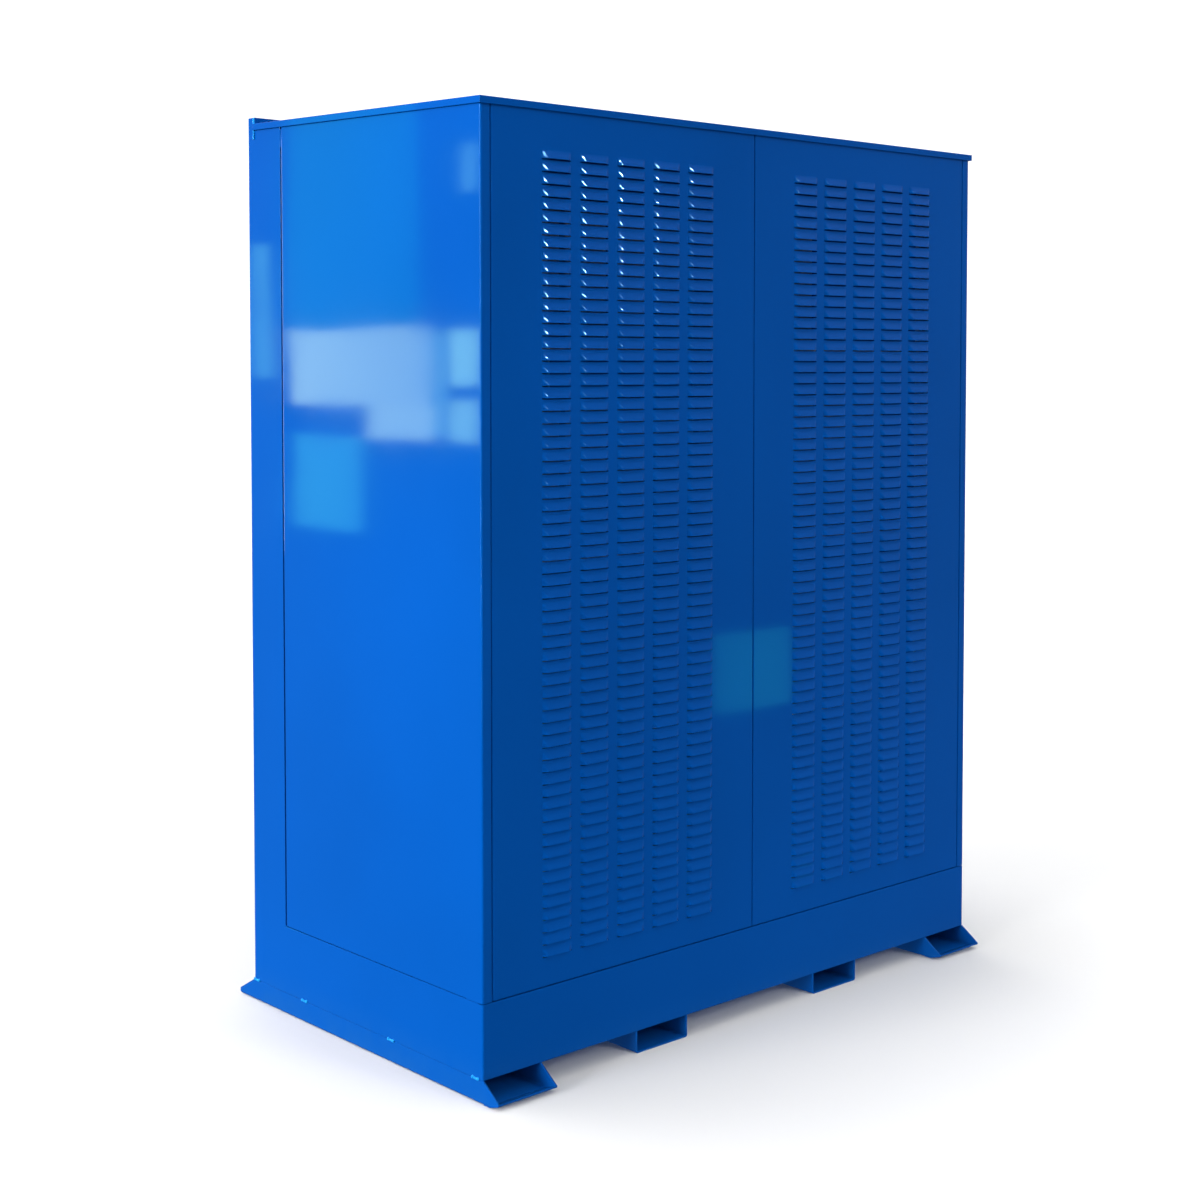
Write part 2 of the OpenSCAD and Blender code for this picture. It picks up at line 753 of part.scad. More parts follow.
module rod_top() {
    run = keeper_top_z - rod_clear - rod_point - lock_z - rod_start;
    color(zinc) translate([-lock_x, rod_y, lock_z + rod_start]) {
        cylinder(r = rod_r, h = run);
        translate([0, 0, run]) cylinder(r1 = rod_r, r2 = rod_r * 2 / 3, h = rod_point);
    }
}

module rod_bottom() {
    tip = keeper_low_z + keeper_t + rod_clear;
    color(zinc) translate([-lock_x, rod_y, tip]) {
        cylinder(r1 = rod_r * 2 / 3, r2 = rod_r, h = rod_point);
        translate([0, 0, rod_point]) cylinder(r = rod_r, h = lock_z - rod_start - tip - rod_point);
    }
}

// ---- Rack and batteries ----

rack_x = x_out - rack_side;
rack_y0 = y_rear + rack_rear;
rack_y1 = y_door - rack_front;
rack_top = z_roof - rail_leg - 10;
shelf_z0 = z_floor + first_shelf;
tier_h = (rack_top - shelf_z0) / 4;

module rack_posts() {
    color(zinc) {
        both_sides() for (front = [0, 1]) {
            y_face = front == 1 ? rack_y1 : rack_y0 + rack_t;
            block([-rack_x, front == 1 ? rack_y1 - rack_leg : rack_y0, z_floor],
                [-rack_x + rack_t, front == 1 ? rack_y1 : rack_y0 + rack_leg, rack_top]);
            block([-rack_x, y_face - rack_t, z_floor], [-rack_x + rack_leg, y_face, rack_top]);
        }
        for (y = [rack_y0, rack_y1 - rack_t])
            block([-rack_leg / 2, y, z_floor], [rack_leg / 2, y + rack_t, rack_top]);
    }
}

module shelf(tier) {
    z = tier_z(tier);
    x = rack_x - rack_t;
    y0 = rack_y0 + rack_t;
    y1 = rack_y1 - rack_t;
    color(zinc) difference() {
        block([-x, y0, z - shelf_lip], [x, y1, z]);
        block([-x + rack_t, y0 + rack_t, z - shelf_lip - 1], [x - rack_t, y1 - rack_t, z - rack_t]);
    }
}

block_pitch = block_w + block_gap;
blocks = floor((2 * (rack_x - rack_leg) + block_gap) / block_pitch);
hold_down_room = 26;
block_y1 = rack_y1 - rack_t - hold_down_room;
lid_edge = 2;
terminal_step = 26;
terminal_x = block_w * 0.3;
terminal_y = block_y1 - terminal_step / 2;
link_t = 3;
function block_x(k) = (k - (blocks - 1) / 2) * block_pitch;
function tier_z(tier) = shelf_z0 + (tier - 1) * tier_h;
// The top tier leaves the place of two blocks to the isolator box.
function tier_blocks(tier) = tier == 4 ? blocks - 2 : blocks;

module battery_block() {
    y0 = block_y1 - block_d;
    w = block_w / 2;
    z_lid = block_h - block_lid;
    z_step = block_h - block_lid / 2;
    recess_edge = 14;
    recess_depth = 8;
    along_z(0, z_lid) rounded([-w, y0], [w, block_y1], 5);
    difference() {
        along_z(z_lid, block_h)
            rounded([-w - lid_edge, y0 - lid_edge], [w + lid_edge, block_y1 + lid_edge], 6);
        block([recess_edge - w, y0 + block_d * 0.3, block_h - recess_depth],
            [w - recess_edge, y0 + block_d * 0.7, block_h + 1]);
        block([-block_w, block_y1 - terminal_step, z_step], [block_w, block_y1 + 2 * lid_edge, block_h + 1]);
    }
    for (side = [-1, 1])
        translate([side * terminal_x, terminal_y, z_step]) cylinder(r = terminal_r, h = block_lid / 4);
}

module battery_row(tier) {
    color([0.16, 0.17, 0.18]) for (k = [0 : tier_blocks(tier) - 1])
        translate([block_x(k), 0, tier_z(tier)]) battery_block();
}

module battery_links() {
    bolt_r = terminal_r * 0.6;
    color(copper) for (tier = [1 : 4], k = [0 : tier_blocks(tier) - 2]) {
        z = tier_z(tier) + block_h - block_lid / 4;
        xa = block_x(k) + terminal_x;
        xb = block_x(k + 1) - terminal_x;
        block([xa - terminal_r, terminal_y - terminal_r, z],
            [xb + terminal_r, terminal_y + terminal_r, z + link_t]);
        for (x = [xa, xb])
            translate([x, terminal_y, z + link_t]) cylinder(r = bolt_r, h = link_t);
    }
}

module hold_down_bars() {
    y_bar = block_y1 + lid_edge;
    x_end = rack_x - rack_t;
    color(zinc) for (tier = [1 : 4]) {
        z = tier_z(tier) + block_h / 2;
        block([-x_end, y_bar, z], [x_end, y_bar + rack_t, z + bar_h]);
        both_sides() block([-x_end, y_bar, z], [rack_t - x_end, rack_y1 - rack_t, z + bar_h]);
        block([-rack_leg / 2, y_bar, z], [rack_leg / 2, rack_y1 - rack_t, z + rack_t]);
    }
}

isolator_x0 = block_x(blocks - 2) - block_w / 2;
isolator_x1 = block_x(blocks - 1) + block_w / 2;
isolator_x = (isolator_x0 + isolator_x1) / 2;
isolator_z = tier_z(4);
isolator_d = 300;
isolator_h = block_h - 4;
isolator_lid = 18;
isolator_front = block_y1 - 1;
isolator_spindle_r = 6;
knob_r = 30;
knob_z = isolator_z + block_h / 2 + bar_h + knob_r + 18;
spindle_in = 39;

// Box of the battery isolator on the top shelf: body and stepped lid, bored for the switch.
module isolator_box() {
    color([0.62, 0.64, 0.66]) difference() {
        union() {
            along_y(isolator_front - isolator_d, isolator_front - isolator_lid)
                rounded([isolator_x0, isolator_z], [isolator_x1, isolator_z + isolator_h], 4);
            along_y(isolator_front - isolator_lid, isolator_front)
                rounded([isolator_x0 + 4, isolator_z + 4], [isolator_x1 - 4, isolator_z + isolator_h - 4], 8);
        }
        translate([isolator_x, isolator_front - spindle_in - 5, knob_z]) rotate([-90, 0, 0])
            cylinder(r = isolator_spindle_r + run_gap, h = spindle_in + 10);
    }
}

module isolator_knob() {
    flange_t = 8;
    grip_t = 14;
    color([0.75, 0.05, 0.04]) translate([isolator_x, isolator_front, knob_z]) rotate([-90, 0, 0]) {
        translate([0, 0, -spindle_in]) cylinder(r = isolator_spindle_r, h = spindle_in + flange_t);
        translate([0, 0, knob_gap]) cylinder(r = knob_r, h = flange_t);
        translate([0, 0, knob_gap + flange_t]) linear_extrude(grip_t) {
            square([grip_t, 1.4 * knob_r], center = true);
            for (side = [-1, 1])
                translate([0, side * 0.7 * knob_r]) circle(grip_t / 2);
        }
    }
}

module cable_duct() {
    duct_w = 40;
    duct_d = 60;
    wall = 3;
    y1 = y_door - side_post_w - 3 * seam_gap;
    y0 = y1 - duct_d;
    z0 = z_band + 30;
    z1 = rack_top - 10;
    color([0.62, 0.64, 0.66]) difference() {
        block([rack_x, y0, z0], [rack_x + duct_w, y1, z1]);
        block([rack_x + wall, y0 + wall, z0 - 1], [rack_x + duct_w - wall, y1 - wall, z1 + 1]);
    }
}

carcass();
floor_plate();
gland_plate();
gland_screws();
earth_stud();
outer_skid(-x_out);  // skid_outer_left
inner_skid(-x_out + skid_inset);  // skid_inner_left
inner_skid(x_out - skid_inset - skid_w);  // skid_inner_right
outer_skid(x_out - skid_w);  // skid_outer_right
side_panel();  // side_panel_left
mirror([1, 0, 0]) side_panel();  // side_panel_right
roof();
rear_mullion();
rear_panel(-seam_gap / 2 - rear_panel_w);  // rear_panel_left
rear_panel(seam_gap / 2);  // rear_panel_right
door_mullion();
door_seals();
keepers();
frame_hinges();  // frame_hinges_left
mirror([1, 0, 0]) frame_hinges();  // frame_hinges_right
rack_posts();
shelf(1);  // shelf_1
shelf(2);  // shelf_2
shelf(3);  // shelf_3
shelf(4);  // shelf_4
battery_row(1);  // battery_row_1
battery_row(2);  // battery_row_2
battery_row(3);  // battery_row_3
battery_row(4);  // battery_row_4
battery_links();
hold_down_bars();
isolator_box();
isolator_knob();
cable_duct();
door_skin();  // door_skin_left
mirror([1, 0, 0]) door_skin();  // door_skin_right
door_ribs();  // door_ribs_left
mirror([1, 0, 0]) door_ribs();  // door_ribs_right
door_hinges();  // door_hinges_left
mirror([1, 0, 0]) door_hinges();  // door_hinges_right
lock_case();  // lock_case_left
mirror([1, 0, 0]) lock_case();  // lock_case_right
escutcheon();  // escutcheon_left
mirror([1, 0, 0]) escutcheon();  // escutcheon_right
rod_guides();  // rod_guides_left
mirror([1, 0, 0]) rod_guides();  // rod_guides_right
handle(-1);  // handle_left
handle(1);  // handle_right
rod_top();  // rod_top_left
mirror([1, 0, 0]) rod_top();  // rod_top_right
rod_bottom();  // rod_bottom_left
mirror([1, 0, 0]) rod_bottom();  // rod_bottom_right
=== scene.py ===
"""Dresses the skid-mounted battery cabinet: pressed louvres, folded sheets, welds, locks and rack."""

from __future__ import annotations

import json
import logging
import math
from collections.abc import Callable, Iterable, Sequence
from dataclasses import dataclass, field
from enum import Enum

import bmesh
import bpy
from mathutils import Matrix, Vector

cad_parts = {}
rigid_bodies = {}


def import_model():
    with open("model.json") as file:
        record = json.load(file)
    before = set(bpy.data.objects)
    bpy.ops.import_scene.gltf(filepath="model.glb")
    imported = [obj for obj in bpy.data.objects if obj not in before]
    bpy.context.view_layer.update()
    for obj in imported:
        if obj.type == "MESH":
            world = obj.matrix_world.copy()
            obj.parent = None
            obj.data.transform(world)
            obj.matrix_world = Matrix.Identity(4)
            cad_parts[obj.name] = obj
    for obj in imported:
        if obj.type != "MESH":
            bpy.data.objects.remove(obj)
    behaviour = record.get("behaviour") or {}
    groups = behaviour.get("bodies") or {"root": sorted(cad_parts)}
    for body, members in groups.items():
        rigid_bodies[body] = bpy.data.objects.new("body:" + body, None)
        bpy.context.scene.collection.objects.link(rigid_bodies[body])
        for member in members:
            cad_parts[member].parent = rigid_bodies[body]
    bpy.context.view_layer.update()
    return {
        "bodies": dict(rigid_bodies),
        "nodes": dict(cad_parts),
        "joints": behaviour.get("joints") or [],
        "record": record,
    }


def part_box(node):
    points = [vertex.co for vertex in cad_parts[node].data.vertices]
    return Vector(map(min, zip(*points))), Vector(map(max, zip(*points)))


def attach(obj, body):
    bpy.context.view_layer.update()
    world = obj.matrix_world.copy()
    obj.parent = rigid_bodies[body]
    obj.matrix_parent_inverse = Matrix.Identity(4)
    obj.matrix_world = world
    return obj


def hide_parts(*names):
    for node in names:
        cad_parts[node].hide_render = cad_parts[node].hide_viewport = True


LOG = logging.getLogger("battery_cabinet")
MM = 0.001
Point = tuple[float, float, float]


class Side(Enum):
    """The two hands of the cabinet; the value is the sign of X."""

    LEFT = -1
    RIGHT = 1

    @property
    def word(self) -> str:
        """Name of the side as nodes and bodies spell it."""
        return self.name.lower()


class Along(Enum):
    """Direction a round piece is turned to, as the matrix that lays +Z along it."""

    X = Matrix.Rotation(math.pi / 2, 4, "Y")
    Y = Matrix.Rotation(-math.pi / 2, 4, "X")
    Z = Matrix.Identity(4)
    BACK = Matrix.Rotation(math.pi / 2, 4, "X")


def mm(*values: float) -> tuple[float, ...]:
    """Millimetres as metres."""
    return tuple(v * MM for v in values)


def profile(*points: tuple[float, float]) -> list[tuple[float, ...]]:
    """Points of a turned profile, radius and height, from millimetres to metres."""
    return [mm(*point) for point in points]


# ---------------------------------------------------------------- finishes


class Recipe:
    """A node material under construction, read on Object coordinates in metres."""

    def __init__(self, name: str) -> None:
        """Starts an empty principled material called name."""
        self.material = bpy.data.materials.new(name)
        self.material.use_nodes = True
        self.tree = self.material.node_tree
        self.shader = self.tree.nodes["Principled BSDF"]
        self.place = self.tree.nodes.new("ShaderNodeTexCoord").outputs["Object"]

    def put(self, socket: str, value: object) -> None:
        """Sets one of the shader's own sockets to a constant."""
        self.shader.inputs[socket].default_value = value

    def feed(self, socket: str, output: bpy.types.NodeSocket) -> None:
        """Links output to one of the shader's sockets."""
        self.tree.links.new(output, self.shader.inputs[socket])

    def stretched(self, factor: Point) -> bpy.types.NodeSocket:
        """Object coordinates scaled by factor, for brushed or drawn patterns."""
        node = self.tree.nodes.new("ShaderNodeMapping")
        node.inputs["Scale"].default_value = factor
        self.tree.links.new(self.place, node.inputs["Vector"])
        return node.outputs["Vector"]

    def noise(self, per_metre: float, detail: float = 2.0, roughness: float = 0.5,
              where: bpy.types.NodeSocket | None = None) -> bpy.types.NodeSocket:
        """Smooth noise with the given number of features per metre."""
        node = self.tree.nodes.new("ShaderNodeTexNoise")
        node.inputs["Scale"].default_value = per_metre
        node.inputs["Detail"].default_value = detail
        node.inputs["Roughness"].default_value = roughness
        self.tree.links.new(where or self.place, node.inputs["Vector"])
        return node.outputs["Fac"]

    def cells(self, per_metre: float) -> bpy.types.NodeSocket:
        """Random value per cell, as the spangle of a zinc coat."""
        node = self.tree.nodes.new("ShaderNodeTexVoronoi")
        node.inputs["Scale"].default_value = per_metre
        self.tree.links.new(self.place, node.inputs["Vector"])
        split = self.tree.nodes.new("ShaderNodeSeparateColor")
        self.tree.links.new(node.outputs["Color"], split.inputs["Color"])
        return split.outputs["Red"]

    def height(self) -> bpy.types.NodeSocket:
        """Height above the ground in metres."""
        node = self.tree.nodes.new("ShaderNodeSeparateXYZ")
        self.tree.links.new(self.place, node.inputs["Vector"])
        return node.outputs["Z"]

    def span(self, value: bpy.types.NodeSocket, low: float, high: float,
             to_low: float, to_high: float) -> bpy.types.NodeSocket:
        """Maps value from low..high to to_low..to_high, clamped."""
        node = self.tree.nodes.new("ShaderNodeMapRange")
        for name, number in (("From Min", low), ("From Max", high), ("To Min", to_low), ("To Max", to_high)):
            node.inputs[name].default_value = number
        self.tree.links.new(value, node.inputs["Value"])
        return node.outputs["Result"]

    def math(self, how: str, a: bpy.types.NodeSocket,
             b: bpy.types.NodeSocket | float) -> bpy.types.NodeSocket:
        """Joins two values with one of the Math node's operations."""
        node = self.tree.nodes.new("ShaderNodeMath")
        node.operation = how
        self.tree.links.new(a, node.inputs[0])
        if isinstance(b, (int, float)):
            node.inputs[1].default_value = b
        else:
            self.tree.links.new(b, node.inputs[1])
        return node.outputs["Value"]

    def blend(self, amount: bpy.types.NodeSocket, low: Sequence[float] | bpy.types.NodeSocket,
              high: Sequence[float]) -> bpy.types.NodeSocket:
        """Colour between low and high by amount."""
        node = self.tree.nodes.new("ShaderNodeMix")
        node.data_type = "RGBA"
        self.tree.links.new(amount, node.inputs[0])
        if isinstance(low, bpy.types.NodeSocket):
            self.tree.links.new(low, node.inputs[6])
        else:
            node.inputs[6].default_value = (*low, 1.0)
        node.inputs[7].default_value = (*high, 1.0)
        return node.outputs[2]

    def relief(self, pattern: bpy.types.NodeSocket, depth: float,
               under: bpy.types.NodeSocket | None = None) -> bpy.types.NodeSocket:
        """Bump of the given depth in metres, laid over another relief if there is one."""
        node = self.tree.nodes.new("ShaderNodeBump")
        node.inputs["Strength"].default_value = 1.0
        node.inputs["Distance"].default_value = depth
        self.tree.links.new(pattern, node.inputs["Height"])
        if under is not None:
            self.tree.links.new(under, node.inputs["Normal"])
        return node.outputs["Normal"]


def shade(colour: Sequence[float], factor: float) -> tuple[float, ...]:
    """The colour made darker or lighter, kept within 0..1."""
    return tuple(min(1.0, c * factor) for c in colour)


@dataclass(frozen=True)
class Finish:
    """What every finish of the cabinet has: a name, a slot, a colour and a mean roughness."""

    name: str
    slot: str
    colour: Point
    roughness: float

    def recipe(self) -> Recipe:
        """Starts the material; each kind of finish adds its own pattern."""
        return Recipe(self.name)

    def material(self) -> bpy.types.Material:
        """The finished material, made once and then shared."""
        return bpy.data.materials.get(self.name) or self.recipe().material


@dataclass(frozen=True)
class SheetPaint(Finish):
    """Gloss paint on folded sheet: orange peel, slow waves of the sheet, road film near the ground."""

    wave_depth: float = 0.0015
    film: Point = (0.006, 0.070, 0.25)

    def recipe(self) -> Recipe:
        """Builds the paint.

        Returns:
            The recipe with colour, roughness and relief linked.
        """
        mix = Recipe(self.name)
        tone = mix.span(mix.noise(1.3, 3.0), 0.3, 0.7, 0.0, 1.0)
        colour = mix.blend(tone, shade(self.colour, 0.94), shade(self.colour, 1.06))
        low = mix.span(mix.height(), 0.0, 0.10, 1.0, 0.0)
        settled = mix.math("MULTIPLY", low, mix.span(mix.noise(22.0, 4.0, 0.6), 0.30, 0.80, 0.10, 0.55))
        mix.feed("Base Color", mix.blend(settled, colour, self.film))
        sheen = mix.span(mix.noise(5.0, 3.0), 0.3, 0.7, self.roughness * 0.8, self.roughness * 1.25)
        mix.feed("Roughness", mix.math("ADD", sheen, mix.math("MULTIPLY", settled, 0.35)))
        waves = mix.relief(mix.noise(1.7, 1.5), self.wave_depth)
        mix.feed("Normal", mix.relief(mix.noise(240.0, 1.0), 0.000009, waves))
        mix.put("Specular IOR Level", 0.10)
        mix.put("Specular Tint", (0.15, 0.55, 1.0, 1.0))
        return mix


@dataclass(frozen=True)
class ZincCoat(Finish):
    """Plated or galvanised steel: spangle, faint rolling lines and a fine grain."""

    spangle: float = 55.0
    contrast: float = 1.0

    def recipe(self) -> Recipe:
        """Builds the zinc coat.

        Returns:
            The recipe with colour, roughness and relief linked.
        """
        mix = Recipe(self.name)
        patch = mix.math("ADD", mix.math("MULTIPLY", mix.cells(self.spangle), 0.5),
                         mix.math("MULTIPLY", mix.noise(14.0, 4.0), 0.5))
        mix.feed("Base Color", mix.blend(patch, shade(self.colour, 1.0 - 0.20 * self.contrast),
                                          shade(self.colour, 1.0 + 0.10 * self.contrast)))
        mix.feed("Roughness", mix.span(patch, 0.2, 0.8, self.roughness * (1.0 - 0.20 * self.contrast),
                                       self.roughness * (1.0 + 0.25 * self.contrast)))
        rolled = mix.noise(60.0, 2.0, where=mix.stretched((0.05, 1.0, 6.0)))
        mix.feed("Normal", mix.relief(mix.noise(900.0, 1.0), 0.000006 * self.contrast,
                                      mix.relief(rolled, 0.000015 * self.contrast)))
        mix.put("Metallic", 0.85)
        return mix


@dataclass(frozen=True)
class Moulding(Finish):
    """Moulded plastic or rubber with a fine eroded grain and handling marks."""

    grain: float = 900.0
    grain_depth: float = 0.00002
    specular: float = 0.4

    def recipe(self) -> Recipe:
        """Builds the moulded finish.

        Returns:
            The recipe with colour, roughness and relief linked.
        """
        mix = Recipe(self.name)
        tone = mix.span(mix.noise(11.0, 4.0, 0.6), 0.3, 0.7, 0.0, 1.0)
        mix.feed("Base Color", mix.blend(tone, shade(self.colour, 0.86), shade(self.colour, 1.14)))
        mix.feed("Roughness", mix.span(mix.noise(40.0, 3.0), 0.3, 0.7,
                                       self.roughness * 0.85, min(1.0, self.roughness * 1.2)))
        mix.feed("Normal", mix.relief(mix.noise(self.grain, 2.0, 0.7), self.grain_depth))
        mix.put("Specular IOR Level", self.specular)
        return mix


@dataclass(frozen=True)
class BrightMetal(Finish):
    """Turned brass, copper bar or bare screw heads, faintly tarnished."""

    def recipe(self) -> Recipe:
        """Builds the bright metal.

        Returns:
            The recipe with colour, roughness and relief linked.
        """
        mix = Recipe(self.name)
        stain = mix.span(mix.noise(70.0, 4.0, 0.6), 0.35, 0.75, 0.0, 1.0)
        mix.feed("Base Color", mix.blend(stain, self.colour, shade(self.colour, 0.62)))
        mix.feed("Roughness", mix.math("ADD", mix.math("MULTIPLY", stain, 0.25), self.roughness))
        mix.feed("Normal", mix.relief(mix.noise(500.0, 2.0, where=mix.stretched((1.0, 0.1, 1.0))), 0.000008))
        mix.put("Metallic", 1.0)
        return mix


@dataclass(frozen=True)
class FloorCoat(Finish):
    """Plain pale floor."""

    def recipe(self) -> Recipe:
        """Builds the floor with a very faint cloudiness.

        Returns:
            The recipe with its colour linked.
        """
        mix = Recipe(self.name)
        mix.feed("Base Color", mix.blend(mix.noise(0.4, 2.0), shade(self.colour, 0.985), self.colour))
        mix.put("Roughness", self.roughness)
        mix.put("Specular IOR Level", 0.0)
        return mix


PAINT = SheetPaint("cabinet_blue", "painted_blue", (0.0, 0.054, 0.27), 0.06)
# The welds get a lighter blue than the sheet they join: a painted highlight, so the stitches and the roof
# bead read as bright dots and lines.
WELD_PAINTED_HIGHLIGHT = SheetPaint("weld_blue", "painted_blue", (0.010, 0.220, 0.60), 0.12, wave_depth=0.0003)
ZINC = ZincCoat("galvanised_sheet", "zinc_steel", (0.50, 0.52, 0.54), 0.44)
PLATED = ZincCoat("plated_hardware", "zinc_steel", (0.64, 0.65, 0.67), 0.34, spangle=160.0, contrast=0.3)
BLACK = Moulding("handle_nylon", "black_plastic", (0.030, 0.030, 0.033), 0.46)
SEAL = Moulding("seal_rubber", "seal_rubber", (0.018, 0.018, 0.020), 0.72, grain=500.0, grain_depth=0.00004,
                specular=0.25)
CASE = Moulding("battery_case", "battery_case", (0.055, 0.058, 0.064), 0.50, grain=700.0, grain_depth=0.00003)
CASE_LID = Moulding("battery_lid", "battery_case", (0.095, 0.100, 0.110), 0.44, grain=700.0,
                    grain_depth=0.00003)
GREY = Moulding("grey_plastic", "grey_plastic", (0.50, 0.52, 0.54), 0.42)
RED = Moulding("knob_red", "red_plastic", (0.60, 0.020, 0.014), 0.30, specular=0.5)
YELLOW = Moulding("knob_yellow", "red_plastic", (0.85, 0.55, 0.03), 0.35, specular=0.5)
COPPER = BrightMetal("copper_bar", "copper", (0.86, 0.46, 0.28), 0.24)
BRASS = BrightMetal("earth_brass", "copper", (0.80, 0.58, 0.25), 0.26)
SCREW = BrightMetal("screw_steel", "zinc_steel", (0.66, 0.67, 0.69), 0.28)
# Near black: painted shade for the key cylinder's keyway, and the printed marks on the isolator's ring.
KEYWAY_SHADE_AND_PRINT = Moulding("dark_recess", "black_plastic", (0.010, 0.010, 0.012), 0.8, specular=0.15)
FLOOR = FloorCoat("studio_floor", "studio", (0.66, 0.66, 0.66), 0.9)

SLOT_FINISH: dict[str, Finish] = {finish.slot: finish for finish in
                                  (PAINT, ZINC, BLACK, SEAL, CASE, GREY, RED, COPPER)}


# ---------------------------------------------------------------- making pieces


def bevel(bm: bmesh.types.BMesh, edges: Iterable[bmesh.types.BMEdge], radius: float, segments: int,
          clamp: bool = True) -> None:
    """Rounds edges with the bevel operator.

    Args:
        bm: the mesh.
        edges: its edges to round.
        radius: the rounding in metres.
        segments: how many steps the rounding has.
        clamp: whether overlapping roundings are held back.
    """
    bmesh.ops.bevel(bm, geom=list(edges), offset=radius, offset_type="OFFSET", segments=segments,
                    profile=0.5, affect="EDGES", clamp_overlap=clamp, material=-1)


def block(bm: bmesh.types.BMesh, low: Sequence[float], high: Sequence[float]) -> list[bmesh.types.BMVert]:
    """Adds a sharp block between two corners and returns its vertices."""
    size = [b - a for a, b in zip(low, high)]
    centre = [(a + b) / 2 for a, b in zip(low, high)]
    put = Matrix.Translation(centre) @ Matrix.Diagonal((*size, 1.0))
    return bmesh.ops.create_cube(bm, size=1.0, matrix=put)["verts"]


class Workpiece:
    """A mesh on the bench: operators shape it, then it is handed over to ride on a body."""

    def __init__(self, name: str, finish: Finish) -> None:
        """Starts an empty workpiece with its name and its first finish, whose slot it keeps."""
        self.name = name
        self.finishes: list[Finish] = [finish]
        self.slot = finish.slot
        self.bm = bmesh.new()

    def paint_with(self, finish: Finish | None) -> int:
        """Index of a finish on this piece, added if it is new; 0 if there is none."""
        if finish is None:
            return 0
        if finish not in self.finishes:
            self.finishes.append(finish)
        return self.finishes.index(finish)

    def _dye(self, verts: Iterable[bmesh.types.BMVert], finish: Finish | None) -> None:
        """Gives the faces round fresh vertices a finish."""
        index = self.paint_with(finish)
        for vert in verts:
            for face in vert.link_faces:
                face.material_index = index

    def round_off(self, edges: Iterable[bmesh.types.BMEdge], radius: float, segments: int = 2,
                  clamp: bool = True) -> None:
        """Rounds the given edges; nothing happens at radius 0."""
        chosen = list(edges)
        if chosen and radius > 0:
            bevel(self.bm, chosen, radius, segments, clamp)

    def cut(self, place: Sequence[float], normal: Sequence[float], clear: bool = False) -> None:
        """Cuts the whole piece along a plane.

        Args:
            place: a point on the plane.
            normal: the plane's normal.
            clear: whether what lies on the normal's side is taken away.
        """
        bm = self.bm
        bmesh.ops.bisect_plane(bm, geom=bm.verts[:] + bm.edges[:] + bm.faces[:], dist=0.00001,
                               plane_co=place, plane_no=normal, clear_outer=clear)

    def hard_edges(self, verts: Iterable[bmesh.types.BMVert] | None = None,
                   least_angle: float = 30.0) -> list[bmesh.types.BMEdge]:
        """Edges among verts, or in the whole piece, that turn by more than least_angle degrees."""
        limit = math.radians(least_angle)
        if verts is None:
            pool = self.bm.edges[:]
        else:
            inside = dict.fromkeys(verts)
            pool = dict.fromkeys(e for v in inside for e in v.link_edges if e.other_vert(v) in inside)
        return [e for e in pool if len(e.link_faces) == 2 and e.calc_face_angle(0.0) > limit]

    def slab(self, low: Sequence[float], high: Sequence[float], edge: float = 0.0, segments: int = 2,
             finish: Finish | None = None) -> None:
        """Adds a bar or block between two corners, with rounded edges."""
        verts = block(self.bm, low, high)
        self._dye(verts, finish)
        self.round_off(self.hard_edges(verts), edge, segments)

    def plate(self, low: Sequence[float], high: Sequence[float], normal: int, corner: float,
              edge: float = 0.0, segments: int = 2, finish: Finish | None = None) -> None:
        """Adds a plate with rounded corners.

        Args:
            low: its lowest corner.
            high: its highest corner.
            normal: the axis it is thin along, 0 to 2.
            corner: radius of its four corners.
            edge: rounding of its two rims.
            segments: steps of the rims' rounding.
            finish: another finish than the piece's first.
        """
        other = bmesh.new()
        block(other, low, high)
        thick = high[normal] - low[normal]
        bevel(other, [e for e in other.edges if abs((e.verts[0].co - e.verts[1].co)[normal]) > thick / 2],
              corner, 6)
        if edge > 0:
            bevel(other, [e for e in other.edges if e.calc_face_angle(0.0) > 1.0], edge, segments)
        self.take_in(other, finish)

    def take_in(self, other: bmesh.types.BMesh, finish: Finish | None = None,
                put: Matrix | None = None) -> None:
        """Takes over another mesh, moved by put, and frees it."""
        index = self.paint_with(finish)
        for face in other.faces:
            face.material_index = index
        if put is not None:
            bmesh.ops.transform(other, matrix=put, verts=other.verts[:])
        mesh = bpy.data.meshes.new("merge")
        other.to_mesh(mesh)
        other.free()
        self.bm.from_mesh(mesh)
        bpy.data.meshes.remove(mesh)

    def turned(self, foot: Sequence[float], along: Along, length: float, radius: float,
               top: float | None = None, segments: int = 20, edge: float = 0.0,
               finish: Finish | None = None) -> None:
        """Adds a turned pin, disc, cone or, with few segments, a nut.

        Args:
            foot: centre of the end it grows from.
            along: the direction it grows in.
            length: its length along the axis.
            radius: radius at the foot.
            top: radius at the other end, if it tapers.
            segments: sides of its circle.
            edge: rounding of its end edges.
            finish: another finish than the piece's first.
        """
        put = Matrix.Translation(foot) @ along.value @ Matrix.Translation((0, 0, length / 2))
        end = radius if top is None else top
        verts = bmesh.ops.create_cone(self.bm, cap_ends=True, segments=segments, radius1=radius, radius2=end,
                                      depth=length, matrix=put)["verts"]
        self._dye(verts, finish)
        self.round_off(self.hard_edges(verts, 62.0), edge)

